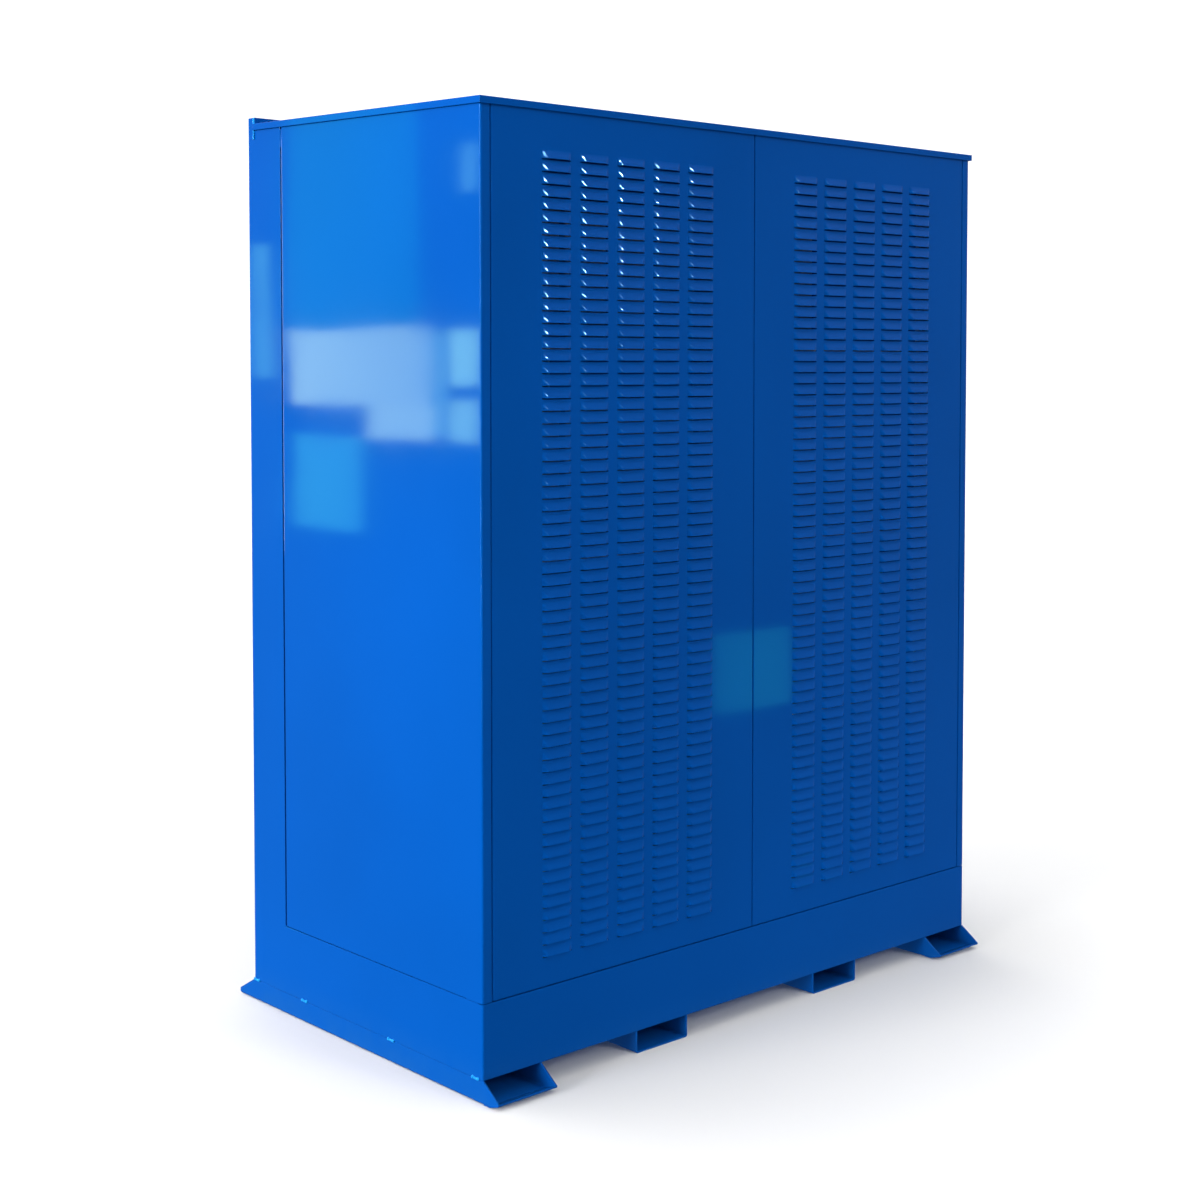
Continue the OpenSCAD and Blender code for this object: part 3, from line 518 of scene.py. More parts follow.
    def lathe(self, points: Sequence[tuple[float, ...]], foot: Sequence[float], along: Along,
              closed: bool = False, steps: int = 28, finish: Finish | None = None) -> None:
        """Spins a profile of radius and height pairs round its axis.

        Args:
            points: radius and height in metres, from the foot upwards.
            foot: where height 0 stands.
            along: direction of the axis.
            closed: whether the last point joins the first, as for a ring.
            steps: steps of the spin.
            finish: another finish than the piece's first.
        """
        other = bmesh.new()
        line = [other.verts.new((r, 0.0, h)) for r, h in points]
        pairs = list(zip(line, line[1:])) + ([(line[-1], line[0])] if closed else [])
        edges = [other.edges.new(pair) for pair in pairs]
        bmesh.ops.spin(other, geom=line + edges, cent=(0, 0, 0), axis=(0, 0, 1), angle=2 * math.pi,
                       steps=steps, use_merge=True, use_duplicate=False)
        bmesh.ops.remove_doubles(other, verts=other.verts[:], dist=0.000002)
        bmesh.ops.recalc_face_normals(other, faces=other.faces[:])
        self.take_in(other, finish, Matrix.Translation(foot) @ along.value)

    def lump(self, centre: Sequence[float], size: Sequence[float], finer: int = 2) -> None:
        """Adds an egg of the given full size, as one ripple of a weld or of a grip."""
        put = Matrix.Translation(centre) @ Matrix.Diagonal((size[0] / 2, size[1] / 2, size[2] / 2, 1.0))
        bmesh.ops.create_icosphere(self.bm, subdivisions=finer, radius=1.0, matrix=put)

    def bead(self, start: Sequence[float], end: Sequence[float], pitch: float, size: Point,
             finer: int = 2) -> None:
        """Lays overlapping ripples of weld from start to end."""
        a, b = Vector(start), Vector(end)
        count = max(1, round((b - a).length / pitch))
        for k in range(count + 1):
            self.lump(a.lerp(b, k / count), size, finer)

    def screw(self, seat: Sequence[float], along: Along, radius: float, height: float,
              finish: Finish = SCREW) -> None:
        """Adds a pan head with a hexagon socket, standing on seat."""
        self.lathe([(radius, 0.0), (radius, height * 0.45), (radius * 0.86, height * 0.85),
                    (radius * 0.62, height), (radius * 0.5, height), (radius * 0.46, height * 0.4),
                    (0.0, height * 0.4)], seat, along, steps=18, finish=finish)

    def bolt(self, seat: Sequence[float], along: Along, flats: float, height: float,
             finish: Finish = PLATED) -> None:
        """Adds a hexagon head on its washer."""
        lift = Matrix.Translation(seat) @ along.value @ Vector((0, 0, height * 0.3))
        self.turned(seat, along, height * 0.3, flats * 0.72, segments=20, edge=height * 0.08, finish=finish)
        self.turned(lift, along, height * 0.7, flats * 0.577, segments=6, edge=height * 0.1, finish=finish)

    def stamp(self, other: "Workpiece", places: Iterable[Matrix]) -> None:
        """Adds a copy of another workpiece at each place and frees it."""
        for face in other.bm.faces:
            face.material_index = self.paint_with(other.finishes[face.material_index])
        mesh = bpy.data.meshes.new("stamp")
        other.bm.to_mesh(mesh)
        other.bm.free()
        for put in places:
            copy = mesh.copy()
            copy.transform(put)
            self.bm.from_mesh(copy)
            bpy.data.meshes.remove(copy)
        bpy.data.meshes.remove(mesh)

    def mirror(self) -> None:
        """Turns the left-hand piece into the right-hand one."""
        bmesh.ops.scale(self.bm, vec=(-1, 1, 1), verts=self.bm.verts[:])
        bmesh.ops.reverse_faces(self.bm, faces=self.bm.faces[:])

    def crease(self, angle: float, big: float, flat: Vector | None) -> None:
        """Shades smooth, with hard edges where the mesh turns sharply and round large flat faces.

        Args:
            angle: edges that turn by more degrees than this are hard.
            big: faces larger than this many square metres are kept flat.
            flat: faces with exactly this normal are kept flat too.
        """
        limit = math.radians(angle)
        level = {f for f in self.bm.faces
                 if f.calc_area() > big or (flat is not None and f.normal.dot(flat) > 0.99999)}
        for face in self.bm.faces:
            face.smooth = True
        for edge in self.bm.edges:
            faces = edge.link_faces
            if len(faces) != 2:
                edge.smooth = False
                continue
            turn = faces[0].normal.angle(faces[1].normal, 0.0)
            levels = sum(face in level for face in faces)
            edge.smooth = turn < limit and turn <= (math.inf, 0.002, 0.02)[levels]

    def hand_over(self, body: str, replaces: Sequence[str] = (), angle: float = 32.0, big: float = 0.002,
                  wall: float = 0.0, flat: Vector | None = None) -> bpy.types.Object:
        """Makes the object and lets it ride on a body.

        Args:
            body: the CAD body it moves with.
            replaces: CAD nodes it stands for.
            angle: shading angle for crease.
            big: area for crease.
            wall: thickness given to an open sheet, inwards.
            flat: normal of faces kept flat by crease.

        Returns:
            The finished object, at the origin.
        """
        if wall == 0:
            bmesh.ops.recalc_face_normals(self.bm, faces=self.bm.faces[:])
        self.bm.normal_update()
        self.crease(angle, big, flat)
        mesh = bpy.data.meshes.new(self.name)
        self.bm.to_mesh(mesh)
        self.bm.free()
        piece = bpy.data.objects.new(self.name, mesh)
        bpy.context.scene.collection.objects.link(piece)
        for finish in self.finishes:
            mesh.materials.append(finish.material())
        if wall > 0:
            thick = piece.modifiers.new("sheet", "SOLIDIFY")
            thick.thickness = wall
            thick.offset = -1.0
            thick.use_even_offset = True
        even = piece.modifiers.new("even_shading", "WEIGHTED_NORMAL")
        even.keep_sharp = True
        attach(piece, body)
        if replaces:
            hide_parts(*replaces)
        LOG.info("%s: %d faces on %s", self.name, len(mesh.polygons), body)
        return piece


EdgeTest = Callable[[bmesh.types.BMEdge], bool]


@dataclass(frozen=True)
class Rounding:
    """One pass over a dressed copy: which edges are rounded, how much and in how many steps."""

    radius: float
    test: EdgeTest
    segments: int = 2
    least_angle: float = 35.0


def longer_than(length: float) -> EdgeTest:
    """Test for edges longer than length."""
    return lambda edge: edge.calc_length() > length


def lies_at(axis: int, place: float, slack: float = 0.0002) -> EdgeTest:
    """Test for edges whose both ends lie at a coordinate."""
    return lambda edge: all(abs(v.co[axis] - place) < slack for v in edge.verts)


def rim(radius: float, axis: int, place: float, segments: int = 3) -> Rounding:
    """Rounding of the sharp edges that lie in one plane across an axis."""
    return Rounding(radius, lies_at(axis, place), segments, 50.0)


def dressed(frame: dict, node: str, finish: Finish, rounds: Sequence[Rounding]) -> Workpiece:
    """Copies a welded, folded or moulded CAD piece and breaks its sharp edges.

    Args:
        frame: the loaded frame.
        node: the CAD node.
        finish: its finish.
        rounds: the passes of rounding, in order.

    Returns:
        The copy on the bench, for more details.
    """
    work = Workpiece(f"{node}_dressed", finish)
    bm = work.bm
    bm.from_mesh(frame["nodes"][node].data)
    for face in bm.faces:
        face.material_index = 0
    bmesh.ops.remove_doubles(bm, verts=bm.verts[:], dist=0.00001)
    bmesh.ops.dissolve_limit(bm, angle_limit=math.radians(0.6), use_dissolve_boundaries=False,
                             verts=bm.verts[:], edges=bm.edges[:])
    bmesh.ops.connect_verts_concave(bm, faces=bm.faces[:])
    for step in rounds:
        work.round_off([e for e in work.hard_edges(least_angle=step.least_angle) if step.test(e)],
                       step.radius, step.segments, clamp=False)
    # A rounding on a slanted edge can reach past the piece by a hair, so it is held to the piece's box.
    low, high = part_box(node)
    for v in bm.verts:
        v.co = [min(max(place, a), b) for place, a, b in zip(v.co, low, high)]
    return work


# ---------------------------------------------------------------- the cabinet's outside


@dataclass
class LouvredPanel:
    """Rear panel with its pressed louvres, one sheet with returned edges."""

    side: Side
    rows: int = 65
    columns: int = 5
    column_pitch: float = 106 * MM
    row_pitch: float = 26 * MM
    first_slot: float = 273 * MM
    hood_length: float = 80.0
    hood_out: float = 7.0
    sheet: float = 1.5 * MM
    across: tuple[float, ...] = (0.0, 1.6, 4.4, 7.3, 10.1, 12.5, 67.5, 69.9, 72.7, 75.6, 78.4, 80.0)
    up: tuple[float, ...] = (-2.5, 0.0, 2.0, 5.0, 8.5, 12.0, 15.5, 18.0)
    end_run: float = 12.5
    slope_foot: float = 2.0
    slope_run: float = 15.5
    slope_curve: float = 1.3
    blend: float = 0.9
    fold: float = 2.0 * MM
    end_strip: float = 6 * MM

    def _lines(self, low: Vector, high: Vector) -> tuple[list[float], list[float]]:
        """Grid lines along X and along Z between the panel's corners."""
        bank = (self.columns - 1) * self.column_pitch + self.hood_length * MM
        start = (low.x + high.x - bank) / 2
        xs = [start + c * self.column_pitch + a * MM for c in range(self.columns) for a in self.across]
        zs = [self.first_slot + r * self.row_pitch + u * MM for r in range(self.rows) for u in self.up]
        return [low.x, *xs, high.x], [low.z, *zs, high.z]

    def _cell(self, i: int, j: int) -> tuple[int, int] | None:
        """Place of a grid line crossing within its hood, or None between hoods.

        Args:
            i: index of the line along X.
            j: index of the line along Z.

        Returns:
            Indices into across and up.
        """
        n, m = len(self.across), len(self.up)
        inside = 1 <= i <= n * self.columns and 1 <= j <= m * self.rows
        return ((i - 1) % n, (j - 1) % m) if inside else None

    def _rise(self, a: int, u: int) -> float:
        """How far a crossing is pressed out, where the sloping ends meet the hood along a soft hip."""
        place = self.across[a]
        end = self.hood_out * min(place, self.hood_length - place) / self.end_run
        fall = 1.0 - (self.up[u] - self.slope_foot) / self.slope_run
        if u == 0 or end <= 0.0 or fall <= 0.0:
            return 0.0
        slope = self.hood_out * fall ** self.slope_curve
        mix = max(0.0, 1.0 - abs(end - slope) / (2 * self.blend))
        return min(self.hood_out, max(0.0, min(end, slope) - mix * mix * self.blend / 2))

    def _press(self, bm: bmesh.types.BMesh, face_y: float) -> None:
        """Opens the slot below every hood and draws the hood out of the sheet.

        Args:
            bm: the flat grid with its column and row layers.
            face_y: where the flat sheet lies.
        """
        column, row = bm.verts.layers.int["column"], bm.verts.layers.int["row"]
        slots = []
        for face in bm.faces:
            cell = self._cell(min(v[column] for v in face.verts), min(v[row] for v in face.verts))
            if cell is not None and cell[0] < len(self.across) - 1 and cell[1] == 0:
                slots.append(face)
        bmesh.ops.delete(bm, geom=slots, context="FACES")
        for v in bm.verts:
            cell = self._cell(v[column], v[row])
            if cell is not None:
                v.co.y = face_y - self._rise(*cell) * MM

    def build(self) -> bpy.types.Object:
        """Presses the panel, which replaces its CAD node.

        Returns:
            The panel.
        """
        node = f"rear_panel_{self.side.word}"
        low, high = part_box(node)
        face_y = low.y + self.hood_out * MM
        xs, zs = self._lines(low, high)
        nx, nz = len(xs) - 1, len(zs) - 1
        work = Workpiece(f"louvred_panel_{self.side.word}", PAINT)
        bm = work.bm
        bmesh.ops.create_grid(bm, x_segments=nx, y_segments=nz, size=0.5)
        column, row = bm.verts.layers.int.new("column"), bm.verts.layers.int.new("row")
        for v in bm.verts:
            i, j = round((v.co.x + 0.5) * nx), round((v.co.y + 0.5) * nz)
            v[column], v[row] = i, j
            v.co = (xs[i], face_y, zs[j])
        self._press(bm, face_y)
        border = [e for e in bm.edges if len(e.link_faces) == 1
                  and all(v[column] in (0, nx) or v[row] in (0, nz) for v in e.verts)]
        fresh = [g for g in bmesh.ops.extrude_edge_only(bm, edges=border)["geom"]
                 if isinstance(g, bmesh.types.BMVert)]
        bmesh.ops.translate(bm, verts=fresh, vec=(0, high.y - face_y, 0))
        work.round_off([e for e in border if e.is_valid and len(e.link_faces) == 2], self.fold, 3)
        for place in (low.z + self.end_strip, high.z - self.end_strip):
            work.cut((0, 0, place), (0, 0, 1))
        return work.hand_over("cabinet", (node,), angle=34.0, big=0.003, wall=self.sheet,
                              flat=Vector((0, -1, 0)))


@dataclass
class SidePanel:
    """Side sheet folded round the rear corner, with its top cut to the fall of the roof."""

    side: Side
    sheet: float = 1.5 * MM
    bend: float = 4 * MM
    strip: float = 25 * MM
    back_return: float = 15 * MM
    seam_return: float = 18 * MM
    seam_bend: float = 5 * MM
    roof_fall: float = 22 * MM
    roof_sheet: float = 1.6 * MM

    def build(self) -> bpy.types.Object:
        """Folds the sheet, which replaces its CAD node.

        Returns:
            The sheet.
        """
        node = f"side_panel_{self.side.word}"
        low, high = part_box(node)
        roof_low, roof_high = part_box("roof")
        s = self.side.value
        outer = low.x if s < 0 else high.x
        work = Workpiece(f"side_sheet_{self.side.word}", PAINT)
        bm = work.bm
        plan = [(outer - s * self.strip, low.y + self.back_return), (outer - s * self.strip, low.y),
                (outer, low.y), (outer, high.y), (outer - s * self.seam_return, high.y)]
        foot = [bm.verts.new((x, y, low.z)) for x, y in plan]
        edges = [bm.edges.new(pair) for pair in zip(foot, foot[1:])]
        top = [g for g in bmesh.ops.extrude_edge_only(bm, edges=edges)["geom"]
               if isinstance(g, bmesh.types.BMVert)]
        bmesh.ops.translate(bm, verts=top, vec=(0, 0, high.z - low.z))
        bends = [e for e in bm.edges if len(e.link_faces) == 2]
        corner = [e for e in bends if (Vector(e.verts[0].co.xy) - Vector((outer, low.y))).length < MM]
        seam = [e for e in bends if (Vector(e.verts[0].co.xy) - Vector((outer, high.y))).length < MM]
        rest = [e for e in bends if e not in corner and e not in seam]
        work.round_off(corner, self.bend, 8)
        work.round_off([e for e in seam if e.is_valid], self.seam_bend, 8)
        work.round_off([e for e in rest if e.is_valid], 2 * MM, 4)
        slope = math.atan2(self.roof_fall, roof_high.y - roof_low.y)
        work.cut((0, roof_high.y, roof_high.z - self.roof_sheet), (0, -math.sin(slope), math.cos(slope)),
                 clear=True)
        bmesh.ops.recalc_face_normals(bm, faces=bm.faces[:])
        if max(bm.faces, key=lambda f: f.calc_area()).normal.x * s < 0:
            bmesh.ops.reverse_faces(bm, faces=bm.faces[:])
        return work.hand_over("cabinet", (node,), angle=32.0, big=0.02, wall=self.sheet)


@dataclass
class BlueSteel:
    """Carcass, roof, floor, skids and door skins: the CAD sheets with their edges broken."""

    frame: dict

    def build(self) -> None:
        """Dresses every painted sheet that shows."""
        low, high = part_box("carcass")
        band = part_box("side_panel_left")[0].z - 2 * MM
        usual = Rounding(0.8 * MM, longer_than(12 * MM))
        flanks = [lies_at(0, low.x), lies_at(0, high.x)]
        band_top = Rounding(3.0 * MM, lambda e: lies_at(2, band)(e) and any(at(e) for at in flanks), 4)
        foot = Rounding(1.2 * MM, lambda e: lies_at(2, low.z)(e) and (any(at(e) for at in flanks)
                                                                     or lies_at(1, low.y)(e)), 3)
        work = dressed(self.frame, "carcass", PAINT, [band_top, foot, usual])
        work.hand_over("cabinet", ("carcass",), big=0.0006)
        skid_top = Rounding(2.4 * MM, lambda e: lies_at(2, low.z)(e) and any(at(e) for at in flanks), 3)
        for node in ("roof", "skid_outer_left", "skid_outer_right", "skid_inner_left", "skid_inner_right",
                     "floor_plate"):
            rounds = [skid_top, usual] if node.startswith("skid_outer") else [usual]
            work = dressed(self.frame, node, PAINT, rounds)
            work.hand_over("cabinet", (node,), big=0.0006)
        for side in Side:
            node = f"door_skin_{side.word}"
            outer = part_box(node)[1].y
            work = dressed(self.frame, node, PAINT,
                           [Rounding(2.0 * MM, lambda e: lies_at(1, outer)(e) and e.calc_length() > 0.1, 4),
                            Rounding(0.5 * MM, longer_than(12 * MM))])
            work.hand_over(f"door_{side.word}", (node,), big=0.0006)


@dataclass
class WeldSeams:
    """Stitch welds between base and skids, and the bead that closes the roof against the header."""

    ripple: float = 5.0 * MM
    stitch: float = 17 * MM
    depths: tuple[float, ...] = (0.024, 0.318, 0.655, 0.858)
    inner_stitch: float = 30 * MM
    inner_depths: tuple[float, ...] = (0.05, 0.30, 0.57, 0.82)
    header_drop: float = 34 * MM

    def build(self) -> bpy.types.Object:
        """Lays every weld that shows, as one piece.

        Returns:
            The welds.
        """
        low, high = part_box("carcass")
        roof_low, roof_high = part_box("roof")
        # Every weld here carries the lighter weld blue, a painted highlight.
        work = Workpiece("stitch_welds", WELD_PAINTED_HIGHLIGHT)
        half = self.stitch / 2
        for x in (low.x, high.x):
            for depth in self.depths:
                y = low.y + depth
                work.bead((x, y - half, low.z), (x, y + half, low.z), self.ripple, mm(5.2, 7.0, 6.6))
                for end in (y - half, y + half):
                    work.lump((x, end, low.z + 1 * MM), mm(8.4, 8.0, 8.4), 3)
        for name in ("skid_inner_left", "skid_inner_right"):
            a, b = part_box(name)
            for x in (a.x, b.x):
                for depth in self.inner_depths:
                    y, z = low.y + depth, low.z - 0.8 * MM
                    work.bead((x, y - self.inner_stitch / 2, z), (x, y + self.inner_stitch / 2, z),
                              self.ripple, mm(6.0, 7.0, 4.6))
        for x, s in ((low.x, -1), (high.x, 1)):
            work.bead((x + s * 1.5 * MM, roof_high.y, roof_high.z - self.header_drop),
                      (x + s * 1.5 * MM, roof_high.y, high.z - 4 * MM), 3 * MM, mm(5.0, 5.0, 5.0))
        work.bead((roof_low.x + 5 * MM, roof_high.y - 0.6 * MM, roof_high.z),
                  (roof_high.x - 5 * MM, roof_high.y - 0.6 * MM, roof_high.z), 6 * MM, mm(8.4, 6.0, 5.0), 1)
        return work.hand_over("cabinet", big=1.0, angle=80.0)


# ---------------------------------------------------------------- doors, hinges and locks


@dataclass
class Hinges:
    """Three lift-off hinges of one door: leaves with screws, bored upper and pinned lower knuckles."""

    side: Side
    levels: tuple[float, ...] = (370.0, 1098.5, 1827.0)
    axis_x: float = -738.5
    axis_y: float = 436.5
    half: float = 50.0
    leaf: float = 34.0
    leaf_back: float = 428.0
    leaf_face: float = 431.0
    knuckle: float = 8.0
    pin: float = 5.0
    gap: float = 0.25

    def _leaf(self, work: Workpiece, side: int, low: float, high: float) -> None:
        """Adds a leaf with three screws, to the left of the axis for -1 and to the right for +1."""
        x0, x1 = sorted((self.axis_x, self.axis_x + side * self.leaf))
        work.plate(mm(x0, self.leaf_back, low), mm(x1, self.leaf_face, high), 1, 4 * MM, 0.6 * MM)
        for k in (0.18, 0.5, 0.82):
            z = low + (high - low) * k
            x = self.axis_x + side * (22.0 if k != 0.5 else 27.0)
            work.screw(mm(x, self.leaf_face - 0.1, z), Along.Y, 3.9 * MM, 1.6 * MM)

    def build(self) -> None:
        """Builds both halves of the hinges of this side."""
        k, g, p = self.knuckle, self.gap, self.pin + 0.1
        fixed = Workpiece(f"hinge_posts_{self.side.word}", PLATED)
        moving = Workpiece(f"hinge_caps_{self.side.word}", PLATED)
        height = self.half - g
        for z in self.levels:
            fixed.lathe(profile((0, 0), (k - 1, 0), (k, 1), (k, height - 0.6), (k - 0.6, height),
                                (0, height)),
                        mm(self.axis_x, self.axis_y, z - self.half), Along.Z, steps=32)
            self._leaf(fixed, -1, z - self.half, z - g)
            fixed.lathe(profile((self.pin, 0), (self.pin, self.half + 0.6), (self.pin - 1.2, self.half + 1.7),
                                (0, self.half + 2)),
                        mm(self.axis_x, self.axis_y, z), Along.Z, steps=24, finish=SCREW)
            moving.lathe(profile((p, g), (k - 0.6, g), (k, g + 0.6), (k, self.half - 1), (k - 1, self.half),
                                 (p, self.half)),
                         mm(self.axis_x, self.axis_y, z), Along.Z, closed=True, steps=32)
            self._leaf(moving, 1, z + g, z + self.half)
        for work in (fixed, moving):
            if self.side is Side.RIGHT:
                work.mirror()
        fixed.hand_over("cabinet", (f"frame_hinges_{self.side.word}",), big=0.0008)
        moving.hand_over(f"door_{self.side.word}", (f"door_hinges_{self.side.word}",), big=0.0008)


@dataclass
class LeverLock:
    """Lever handle, escutcheon with key cylinder, rod lock gearbox and rod guides of one door."""

    side: Side
    frame: dict
    x: float = -74.0
    z: float = 1087.0
    plate_face: float = 432.0
    grip_back: float = 455.0
    grip_face: float = 468.0
    grip_reach: float = 136.0
    spindle_back: float = 362.5
    guides: tuple[float, ...] = (330.0, 1867.0)

    def _lever(self) -> None:
        """Shapes the handle: hub, waisted lever with rounded grip, steel spindle and its locking screw."""
        work = Workpiece(f"lever_{self.side.word}", BLACK)
        x, z = self.x, self.z
        grip = Workpiece("grip", BLACK)
        grip.plate(mm(x - self.grip_reach, self.grip_back, z - 11), mm(x + 14.6, self.grip_face, z + 11), 1,
                   10.9 * MM, 4.2 * MM, 4)
        for k in range(1, 12):
            grip.cut(mm(x - 12 * k, 0, 0), (1, 0, 0))
        for v in grip.bm.verts:
            t = min(1.0, max(0.0, (x * MM - v.co.x) / (125 * MM)))
            v.co.z = z * MM + (v.co.z - z * MM) * (1.0 - 0.24 * math.sin(math.pi * min(1.0, t * 1.05)) ** 2)
            v.co.y -= (v.co.y - self.grip_back * MM) * 0.16 * t + 1.0 * MM * math.sin(math.pi * t) ** 2
        work.stamp(grip, [Matrix.Identity(4)])
        work.lathe(profile((13.4, 0), (14.6, 1.2), (14.6, 5), (13.2, 7), (13.2, 22), (14.8, 25),
                    (14.8, 33), (12.6, 35.4), (0, 35.6)), mm(x, self.plate_face + 0.4, z), Along.Y, steps=40)
        work.turned(mm(x, self.spindle_back, z), Along.Y, (self.plate_face + 1.0 - self.spindle_back) * MM,
                    8 * MM, segments=40, edge=0.5 * MM, finish=SCREW)
        work.turned(mm(x, self.grip_face - 1.1, z), Along.Y, 0.9 * MM, 4.4 * MM, segments=24, edge=0.3 * MM,
                    finish=SCREW)
        if self.side is Side.RIGHT:
            work.mirror()
        work.hand_over(f"lever_{self.side.word}", (f"handle_{self.side.word}",), angle=38.0, big=0.0006)

    def _add(self, work: Workpiece, extra: Workpiece) -> None:
        """Mirrors a left-hand set of details if needed and adds it to the dressed node."""
        if self.side is Side.RIGHT:
            extra.mirror()
        work.stamp(extra, [Matrix.Identity(4)])

    def _escutcheon(self) -> None:
        """Dresses the plate and fits the key cylinder and two screws."""
        node = f"escutcheon_{self.side.word}"
        work = dressed(self.frame, node, BLACK, [rim(0.9 * MM, 1, self.plate_face * MM)])
        extra = Workpiece("cylinder", SCREW)
        x, z, face = self.x, self.z - 60, self.plate_face
        extra.lathe(profile((6.6, 0), (6.6, 1.5), (6.1, 1.9), (5.6, 1.5), (0, 1.5)),
                    mm(x, face - 1.95, z), Along.Y)
        # The keyway is a near-black slab on the cylinder's face: painted shade for the slot's depth.
        extra.slab(mm(x - 0.6, face - 1.0, z - 3.4), mm(x + 0.6, face - 0.25, z + 3.4), 0.2 * MM, 1, KEYWAY_SHADE_AND_PRINT)
        for dz in (-84.0, 30.0):
            extra.screw(mm(x, face - 0.1, self.z + dz), Along.Y, 3.2 * MM, 1.3 * MM)
        self._add(work, extra)
        work.hand_over(f"door_{self.side.word}", (node,), big=0.0006)

    def _gearbox(self) -> None:
        """Dresses the gearbox and adds its cover plate, screws and rod collars."""
        node = f"lock_case_{self.side.word}"
        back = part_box(node)[0].y
        work = dressed(self.frame, node, PLATED, [rim(1.2 * MM, 1, back)])
        extra = Workpiece("cover", PLATED)
        x, z = self.x, self.z
        for dx in (-17.0, 17.0):
            for dz in (-66.0, 0.0, 66.0):
                extra.screw(((x + dx) * MM, back + 0.05 * MM, (z + dz) * MM), Along.BACK, 3.4 * MM, 1.8 * MM)
        for dz in (-40.0, 40.0):
            extra.plate(((x - 12) * MM, back - 0.8 * MM, (z + dz - 14) * MM),
                        ((x + 12) * MM, back + 0.1 * MM, (z + dz + 14) * MM), 1, 4 * MM, 0.4 * MM)
        self._add(work, extra)
        work.hand_over(f"door_{self.side.word}", (node,), big=0.0008)

    def _guides(self) -> None:
        """Dresses the rod guides and screws them to the lock stile."""
        node = f"rod_guides_{self.side.word}"
        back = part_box(node)[0].y
        work = dressed(self.frame, node, PLATED, [rim(0.8 * MM, 1, back)])
        extra = Workpiece("guide_screws", SCREW)
        for z in self.guides:
            for dx in (-11.0, 11.0):
                extra.screw(((self.x + dx) * MM, back + 0.05 * MM, z * MM), Along.BACK, 2.4 * MM, 1.4 * MM)
        self._add(work, extra)
        work.hand_over(f"door_{self.side.word}", (node,), big=0.0008)

    def build(self) -> None:
        """Builds the whole lock of this door."""
        self._lever()
        self._escutcheon()
        self._gearbox()
        self._guides()
        for rod in ("top", "bottom"):
            self.frame["nodes"][f"rod_{rod}_{self.side.word}"].data.materials[0] = PLATED.material()


@dataclass
class DoorInside:
    """Stiffener frames with their spot welds, round seals and the rods' keepers."""

    frame: dict
    spots: int = 12
    spot_pitch: float = 145.0
    first_spot: float = 60.0
    rod_x: float = 74.0

    def _ribs(self, side: Side) -> None:
        """Dresses one door's stiffener frame and sets the spot welds along it."""
        node = f"door_ribs_{side.word}"
        low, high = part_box(node)
        work = dressed(self.frame, node, ZINC, [Rounding(1.4 * MM, longer_than(30 * MM), 3)])
        for x in (low.x + 20 * MM, high.x - 20 * MM):
            for k in range(self.spots):
                z = low.z + (self.first_spot + k * self.spot_pitch) * MM
                work.lump((x, low.y, z), mm(6.5, 0.7, 6.5), 2)
        work.hand_over(f"door_{side.word}", (node,), big=0.0008)

    def build(self) -> None:
        """Builds what the open doors and their frame show."""
        for side in Side:
            self._ribs(side)
        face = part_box("door_seals")[1].y
        work = dressed(self.frame, "door_seals", SEAL, [rim(3.6 * MM, 1, face, 5)])
        work.hand_over("cabinet", ("door_seals",), angle=40.0, big=0.02)
        work = dressed(self.frame, "keepers", PLATED, [Rounding(0.7 * MM, longer_than(4 * MM))])
        low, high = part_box("keepers")
        foot = high.y - 5 * MM
        for side in Side:
            for dx in (-11.0, 11.0):
                x = (side.value * self.rod_x + dx) * MM
                for z in (low.z + 13 * MM, high.z - 13 * MM):
                    work.screw((x, foot + 0.05 * MM, z), Along.BACK, 3.0 * MM, 1.8 * MM)
        work.hand_over("cabinet", ("keepers",), big=0.0008)


# ---------------------------------------------------------------- rack, batteries, switchgear


